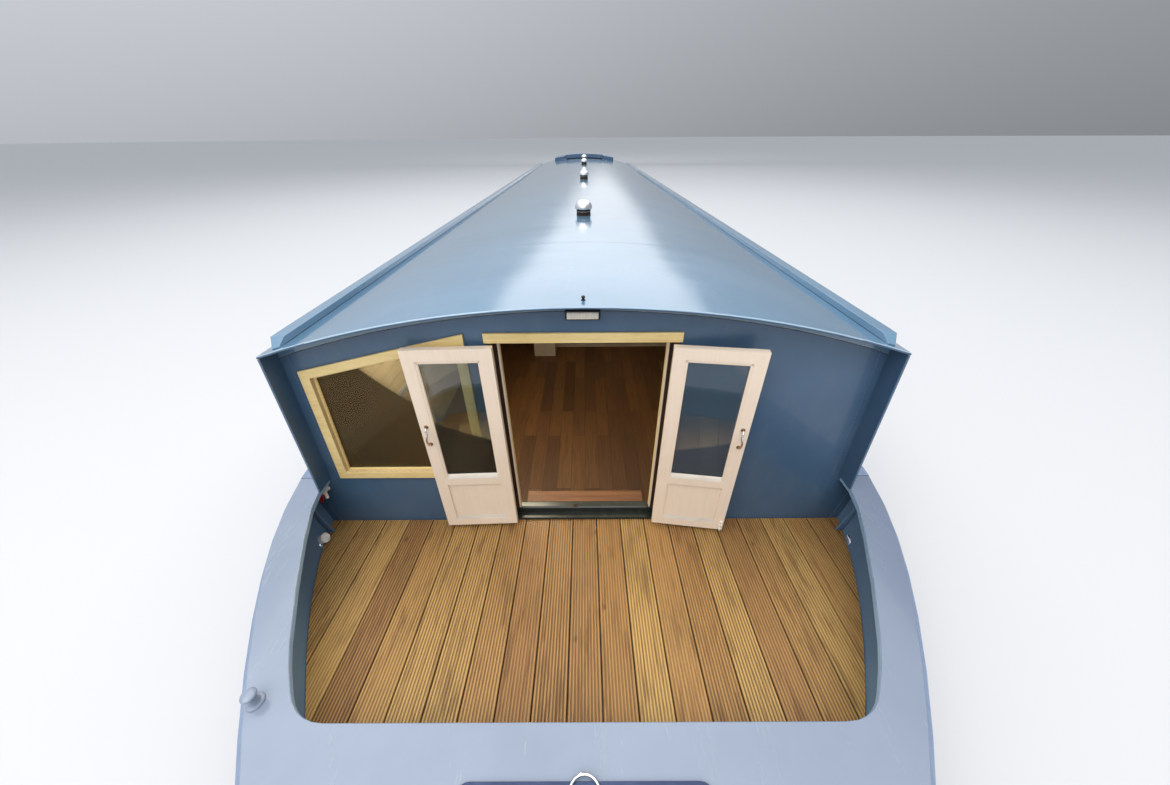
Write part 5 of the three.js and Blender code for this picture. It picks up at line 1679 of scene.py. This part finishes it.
@dataclass
class Interior:
    """What shows of the cabin through the doorway and windows."""

    counter_depth: float = 0.470
    slats: int = 5
    slat_gap: float = 0.003
    slat_thick: float = 0.028
    carcass_foot: float = 0.2704
    carcass_inset: float = 0.02
    worktop_foot: float = 1.135
    worktop_side: float = -0.41
    doors: int = 4
    door_front: float = FRONT_WALL + 3.450
    door_start: float = -0.400
    door_pitch: float = 0.449
    door_gap: float = 0.003
    door_foot: float = 0.390
    door_head: float = 1.120
    door_thick: float = 0.018
    # How far a grip stands from its door's starboard edge, on one door and on the next
    grip_far: float = 0.400
    grip_near: float = 0.049
    grip_foot: float = 0.96
    grip_head: float = 1.08

    def build(self) -> None:
        """Builds the floor, the step and the furniture."""
        place(Bench.paint(Bench.refined("cabin_floor"), OAK), Body.BOAT, "oak", "cabin_floor")
        step = Bench.paint(Bench.refined("inside_step", bevel=0.003), TREAD)
        place(step, Body.BOAT, "tread", "inside_step")
        self.counter()
        unit = Bench.paint(Bench.refined("galley_unit", bevel=0.002), LAMINATE)
        foot, side = self.worktop_foot, self.worktop_side
        Bench.paint(unit, WORKTOP, lambda centre, normal: centre.z > foot and centre.x > side)
        place(unit, Body.BOAT, "laminate", "galley_unit")
        self.unit_doors()
        engine = Bench.paint(Bench.refined("engine_block", bevel=0.012, steps=3), ENGINE_PAINT)
        place(engine, Body.BOAT, "engine", "engine_block")

    def counter(self) -> None:
        """Builds the slatted counter under the front window."""
        node_low, node_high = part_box("window_counter")
        front = node_low.y
        boards = []
        pitch = self.counter_depth / self.slats
        inset, half_gap = self.carcass_inset, self.slat_gap / 2
        for step in range(self.slats):
            near = front + step * pitch
            low = (node_low.x, near + half_gap, node_high.z - self.slat_thick)
            high = (node_high.x, near + pitch - half_gap, node_high.z)
            boards.append(Bench.block(f"counter_board_{step}", low, high, 0.003))
        low = (node_low.x + inset, front + 0.002, self.carcass_foot)
        high = (node_high.x - inset, node_high.y - inset, node_high.z - self.slat_thick - 0.0002)
        boards.append(Bench.block("counter_box", low, high, 0.002))
        counter = Bench.paint(Bench.join("slatted_counter", boards), COUNTER)
        place(counter, Body.BOAT, "tread", "window_counter")

    def unit_doors(self) -> None:
        """Adds the doors and handles on the galley unit's front."""
        front, gap = self.door_front, self.door_gap
        pieces = []
        for step in range(self.doors):
            left = self.door_start + step * self.door_pitch
            low = (left + gap, front - self.door_thick, self.door_foot)
            high = (left + self.door_pitch - gap, front - 0.0005, self.door_head)
            pieces.append(Bench.block(f"unit_door_{step}", low, high, 0.002))
        doors = Bench.paint(Bench.join("unit_doors", pieces), LAMINATE)
        place(doors, Body.BOAT, "laminate")
        near, far = front - 0.019, front - 0.040
        grips = []
        for step in range(self.doors):
            past = self.grip_far if step % 2 == 0 else self.grip_near
            x = self.door_start + step * self.door_pitch + past
            bends = [
                (x, near, self.grip_foot),
                (x, far, self.grip_foot + 0.01),
                (x, far, self.grip_head - 0.01),
                (x, near, self.grip_head),
            ]
            grips.append(Bench.tube(f"unit_grip_{step}", bends, radius=0.004, curved=False))
        place(Bench.paint(Bench.join("unit_grips", grips), CHROME), Body.BOAT, "steel")


@dataclass
class LockerLid:
    """The bow locker's gritted lid with its edge strip and lifting ring."""

    aft: float = FRONT_WALL - 1.311
    top: float = GUNWALE + 0.011
    ring_points: int = 16
    ring_radius: float = 0.048
    ring_ahead: float = 0.034
    ring_height: float = 0.006
    staple_ahead: float = 0.082

    def build(self) -> None:
        """Builds the lid and its ring."""
        lid = Bench.paint(Bench.refined("locker_lid", bevel=0.003), NAVY_ENAMEL)
        place(lid, Body.LID, "navy", "locker_lid")
        aft, top, radius = self.aft, self.top, self.ring_radius
        circle = []
        for step in range(self.ring_points):
            angle = 2 * math.pi * step / self.ring_points
            y = aft - self.ring_ahead + radius * math.sin(angle)
            circle.append((radius * math.cos(angle), y, top + self.ring_height))
        ring = Bench.tube("lid_ring_rod", circle, radius=0.005, closed=True)
        low, high = (-0.022, aft - 0.100, top - 0.0005), (0.022, aft - 0.066, top + 0.003)
        plate = Bench.block("lid_plate", low, high, 0.001)
        y = aft - self.staple_ahead
        bends = [
            (-0.012, y, top + 0.002),
            (-0.010, y, top + 0.013),
            (0.010, y, top + 0.013),
            (0.012, y, top + 0.002),
        ]
        staple = Bench.tube("lid_staple", bends, radius=0.0035)
        place(Bench.paint(Bench.join("lid_ring", [ring, plate, staple]), CHROME), Body.LID, "steel")


@dataclass
class Stern:
    """The aft doors, the rudder with its tiller, and the propeller."""

    grip_at: tuple = (0.0, 7.682, 1.9195)
    # Radius and height of each ring
    grip_profile: tuple = (
        (0.0215, 0.0), (0.024, 0.006), (0.0235, 0.05), (0.026, 0.12), (0.0235, 0.17), (0.021, 0.185),
        (0.0, 0.190),
    )
    tiller_run: float = 0.460
    tiller_rise: float = 0.033
    knuckle_edge: float = 0.3245
    # Nearest and farthest distance of a raised panel from the middle, then lowest and highest height
    panel_sides: tuple = (0.050, 0.280)
    panel_heights: tuple = ((1.290, 1.640), (1.700, 2.090))
    panel_thick: float = 0.006
    grab_x: float = 0.024
    grab_foot: float = 1.60
    grab_head: float = 1.74

    def build(self) -> None:
        """Builds the stern's moving pieces."""
        for hand, body in (("starboard", Body.AFT_STARBOARD), ("port", Body.AFT_PORT)):
            self.aft_door(hand, body)
        rudder = Bench.paint(Bench.refined("rudder", angle=40.0), BLACKING)
        Bench.paint(rudder, HULL_ENAMEL, lambda centre, normal: centre.z > GUNWALE)
        place(rudder, Body.RUDDER, "blacking", "rudder")
        grip = Bench.turned("tiller_grip", self.grip_profile, sides=24)
        lean = math.atan2(self.tiller_rise, self.tiller_run)
        along = Matrix.Rotation(math.pi / 2 - lean, 4, "X")
        Bench.settle(grip, Matrix.Translation(self.grip_at) @ along)
        place(Bench.paint(grip, GRIP), Body.RUDDER, "tread")
        screw = Bench.paint(Bench.refined("propeller", bevel=0.0015, angle=35.0), BRONZE)
        place(screw, Body.SCREW, "bronze", "propeller")

    def aft_door(self, hand: str, body: Body) -> None:
        """Dresses one aft door with two raised panels and a grab handle.

        Args:
            hand: the side that it hangs on.
            body: the body that it turns with.
        """
        side = 1.0 if hand == "port" else -1.0
        leaf = Bench.paint(Bench.refined(f"aft_door_{hand}", bevel=0.002), WALL_ENAMEL)
        Bench.paint(leaf, BRASS, lambda centre, normal: abs(centre.x) > self.knuckle_edge)
        place(leaf, body, "wall_blue", f"aft_door_{hand}")
        low_x, high_x = sorted(side * x for x in self.panel_sides)
        face = AFT_WALL + self.panel_thick
        panels = [
            Bench.block(f"aft_panel_{step}", (low_x, AFT_WALL, low), (high_x, face, high), 0.0025)
            for step, (low, high) in enumerate(self.panel_heights)
        ]
        place(Bench.paint(Bench.join(f"aft_panels_{hand}", panels), WALL_ENAMEL), body, "wall_blue")
        x, foot, head = side * self.grab_x, self.grab_foot, self.grab_head
        bends = [
            (x, AFT_WALL, foot),
            (x, AFT_WALL + 0.028, foot + 0.01),
            (x, AFT_WALL + 0.030, (foot + head) / 2),
            (x, AFT_WALL + 0.028, head - 0.01),
            (x, AFT_WALL, head),
        ]
        grab = Bench.tube(f"aft_grab_{hand}", bends, radius=0.005)
        place(Bench.paint(grab, BRASS), body, "bronze")


# Camera, floor and light


@dataclass(frozen=True)
class Softbox:
    """A soft light: its name, where its middle is, the point that it faces, its size, radiance and tint."""

    name: str
    at: tuple
    aim: tuple
    width: float
    height: float
    glow: float
    colour: tuple = (1.0, 1.0, 1.0)

    def hang(self) -> None:
        """Hangs the light, unseen by the camera."""
        data = bpy.data.lights.new(self.name, "AREA")
        data.shape = "RECTANGLE"
        data.size = self.width
        data.size_y = self.height
        data.energy = self.glow * math.pi * self.width * self.height
        data.color = self.colour
        lamp = bpy.data.objects.new(self.name, data)
        bpy.context.scene.collection.objects.link(lamp)
        lamp.location = self.at
        lamp.rotation_mode = "QUATERNION"
        lamp.rotation_quaternion = (Vector(self.aim) - Vector(self.at)).to_track_quat("-Z", "Y")
        lamp.visible_camera = False


SOFTBOXES = (
    Softbox("overhead_softbox", (0.0, 0.0, 16.0), (0.0, 0.0, 0.0), 26.0, 30.0, 1.35),
    Softbox("front_softbox", (-3.0, -16.0, 13.0), (0.0, -6.0, 1.2), 20.0, 14.0, 2.0, (1.0, 0.93, 0.84)),
    Softbox("cabin_softbox", (-0.1, -4.6, 1.98), (-0.1, -4.6, 0.0), 2.2, 2.2, 1.1, (1.0, 0.90, 0.68)),
    Softbox("window_softbox", (-0.75, -5.1, 1.9), (-1.0, -5.9, 1.15), 0.8, 0.5, 15.0, (1.0, 0.90, 0.66)),
)


@dataclass
class Studio:
    """The photograph's camera, a pale floor at the waterline, and soft lights."""

    camera_at: tuple = (0.0111, -7.7478, 2.8612)
    pitch: float = 33.220
    yaw: float = 0.155
    roll: float = 0.417
    # Millimetres: together they give 394 px of focal length on the photograph's 1170 px
    lens: float = 12.123
    sensor: float = 36.0
    far: float = 1000.0
    floor_reach: float = 400.0
    outline_steps: int = 160
    inside: float = 0.006
    # The card astern: its middle, its distance, its foot, its half width, its height and the fan's reach
    card_middle: float = 2.4
    card_astern: float = 34.0
    card_foot: float = 2.2
    card_half: float = 20.0
    card_height: float = 24.0
    card_reach: float = 39.0

    def build(self) -> None:
        """Sets up the camera, the floor, the sky and the lights."""
        self.camera()
        self.floor()
        self.sky()
        for softbox in SOFTBOXES:
            softbox.hang()
        self.card()
        bpy.context.scene.view_settings.view_transform = "Standard"

    def camera(self) -> None:
        """Places the camera where the photograph was taken from."""
        data = bpy.data.cameras.new("photo_camera")
        data.lens = self.lens
        data.sensor_width = self.sensor
        data.clip_end = self.far
        camera = bpy.data.objects.new("photo_camera", data)
        bpy.context.scene.collection.objects.link(camera)
        turn = (
            Matrix.Rotation(math.radians(self.yaw), 4, "Z")
            @ Matrix.Rotation(math.radians(90.0 - self.pitch), 4, "X")
            @ Matrix.Rotation(-math.radians(self.roll), 4, "Z")
        )
        camera.matrix_world = Matrix.Translation(self.camera_at) @ turn
        bpy.context.scene.camera = camera

    def hull_outline(self) -> list:
        """Returns the hull's outer line at the waterline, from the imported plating."""
        crossings = []
        for node in ("hull_bow", "hull_side_port", "hull_stern"):
            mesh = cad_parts[node].data
            for face in mesh.polygons:
                corners = [mesh.vertices[index].co for index in face.vertices]
                points = []
                for a, b in zip(corners, corners[1:] + corners[:1]):
                    if (a.z - WATERLINE) * (b.z - WATERLINE) < 0:
                        points.append(a.lerp(b, (WATERLINE - a.z) / (b.z - a.z)))
                if len(points) == 2:
                    crossings.append(points)
        low = min(p.y for pair in crossings for p in pair) + self.inside
        high = max(p.y for pair in crossings for p in pair) - self.inside
        line = []
        for step in range(self.outline_steps + 1):
            share = (1 - math.cos(math.pi * step / self.outline_steps)) / 2
            y = low + (high - low) * share
            reach = 0.0
            for a, b in crossings:
                if min(a.y, b.y) <= y <= max(a.y, b.y) and a.y != b.y:
                    reach = max(reach, a.lerp(b, (y - a.y) / (b.y - a.y)).x)
            line.append((max(reach - self.inside, 0.002), y))
        return line

    def floor(self) -> None:
        """Lays the floor as a wide disc round the hull's outline."""
        port = self.hull_outline()
        outline = port + [(-x, y) for x, y in reversed(port)]
        bpy.ops.object.select_all(action="DESELECT")
        bpy.ops.mesh.primitive_circle_add(vertices=len(outline), radius=1.0)
        piece = Bench.fresh("studio_floor")
        for vertex, (x, y) in zip(piece.data.vertices, outline):
            vertex.co = (x, y, WATERLINE)
        bpy.ops.object.mode_set(mode="EDIT")
        bpy.ops.mesh.select_all(action="SELECT")
        bpy.ops.mesh.extrude_edges_move()
        bpy.ops.object.mode_set(mode="OBJECT")
        mesh = piece.data
        for vertex in mesh.vertices:
            if vertex.select:
                direction = Vector((vertex.co.x * 4.0, vertex.co.y, 0.0)).normalized()
                vertex.co = direction * self.floor_reach + Vector((0.0, 0.0, WATERLINE))
        Bench.take(piece)
        bpy.ops.object.mode_set(mode="EDIT")
        bpy.ops.mesh.select_all(action="SELECT")
        bpy.ops.mesh.normals_make_consistent(inside=False)
        bpy.ops.object.mode_set(mode="OBJECT")
        if piece.data.polygons[0].normal.z < 0:
            piece.data.flip_normals()
        material = bpy.data.materials.new("studio_floor_pale")
        material.use_nodes = True
        shader = material.node_tree.nodes["Principled BSDF"]
        shader.inputs["Base Color"].default_value = linear("#c6c7c9")
        shader.inputs["Roughness"].default_value = 0.85
        piece.data.materials.append(material)

    def sky(self) -> None:
        """Lights the studio from a pale surround, brighter overhead and to starboard."""
        world = bpy.data.worlds.new("studio_surround")
        bpy.context.scene.world = world
        world.use_nodes = True
        tree = world.node_tree
        tree.nodes.clear()
        parts = add(tree, "SeparateXYZ", links={"Vector": add(tree, "TexCoord").outputs["Generated"]})
        share = add(tree, "MapRange", {"From Min": 0.0, "From Max": 0.7}, {"Value": parts.outputs["Z"]})
        colour = add(
            tree,
            "Mix",
            {"data_type": "RGBA", 6: (0.40, 0.42, 0.45, 1.0), 7: (0.80, 0.84, 0.90, 1.0)},
            {0: share},
        )
        side = add(
            tree,
            "MapRange",
            {"From Min": -0.8, "From Max": 0.8, "To Min": 1.2, "To Max": 0.6},
            {"Value": parts.outputs["X"]},
        )
        colour = add(tree, "VectorMath", {"operation": "SCALE"}, {0: colour.outputs[2], "Scale": side})
        light = add(tree, "Background", {"Strength": 1.0}, {"Color": colour})
        add(tree, "OutputWorld", links={"Surface": light})

    def card(self) -> None:
        """Stands a wide glowing card far astern, for the soft fan of light that the roof mirrors."""
        reach, mid, foot = self.card_reach, self.card_middle, self.card_foot
        card = Bench.block(
            "aft_card",
            (mid - self.card_half, self.card_astern, foot),
            (mid + self.card_half, self.card_astern + 0.02, foot + self.card_height),
        )
        material = bpy.data.materials.new("studio_card_glow")
        material.use_nodes = True
        tree = material.node_tree
        tree.nodes.clear()
        place_on = add(tree, "TexCoord").outputs["Object"]
        parts = add(tree, "SeparateXYZ", links={"Vector": place_on})
        height = add(
            tree,
            "Math",
            {"operation": "MULTIPLY_ADD", 1: 1 / reach, 2: -foot / reach},
            {0: parts.outputs["Z"]},
        )
        aside = add(
            tree,
            "Math",
            {"operation": "MULTIPLY_ADD", 1: 1 / reach, 2: -mid / reach},
            {0: parts.outputs["X"]},
        )
        aside = add(tree, "Math", {"operation": "ABSOLUTE"}, {0: aside})
        wisps = add(tree, "TexNoise", {"Scale": 0.12, "Detail": 3.0}, {"Vector": place_on})
        ragged = add(tree, "Math", {"operation": "MULTIPLY_ADD", 1: 0.14}, {0: wisps, 2: aside})
        aside = add(tree, "Math", {"operation": "SUBTRACT", 1: 0.015}, {0: ragged})
        past = add(tree, "Math", {"operation": "MULTIPLY_ADD", 1: -1.2}, {0: height, 2: aside})
        glow = add(
            tree,
            "MapRange",
            {"interpolation_type": "SMOOTHSTEP", "From Min": 0.06, "From Max": -0.06},
            {"Value": past},
        )
        # The glow fades in above the card's foot, out at its top, and grows with height
        fades = (
            {"From Min": 0.02, "From Max": 0.10},
            {"From Min": 0.56, "From Max": 0.40},
            {"From Min": 0.12, "From Max": 0.36, "To Min": 0.34, "To Max": 0.56},
        )
        for settings in fades:
            share = add(
                tree, "MapRange", {"interpolation_type": "SMOOTHSTEP", **settings}, {"Value": height}
            )
            glow = add(tree, "Math", {"operation": "MULTIPLY"}, {0: glow, 1: share})
        shine = add(tree, "Emission", links={"Strength": glow})
        clear = add(tree, "BsdfTransparent")
        both = add(tree, "AddShader", links={0: shine, 1: clear})
        add(tree, "OutputMaterial", links={"Surface": both})
        card.data.materials.append(material)
        card.visible_camera = False
        card.visible_shadow = False


def main() -> None:
    """Builds the boat's dress in order, then the studio."""
    logging.basicConfig(level=logging.INFO, format="%(name)s %(message)s")
    bpy.ops.object.select_all(action="DESELECT")
    for part in (Hull(), Decking(), Cabin(), Roof(), FrontEnd(), Interior(), LockerLid(), Stern()):
        log.info("building %s", type(part).__name__)
        part.build()
    Studio().build()


if __name__ == "__main__":
    main()
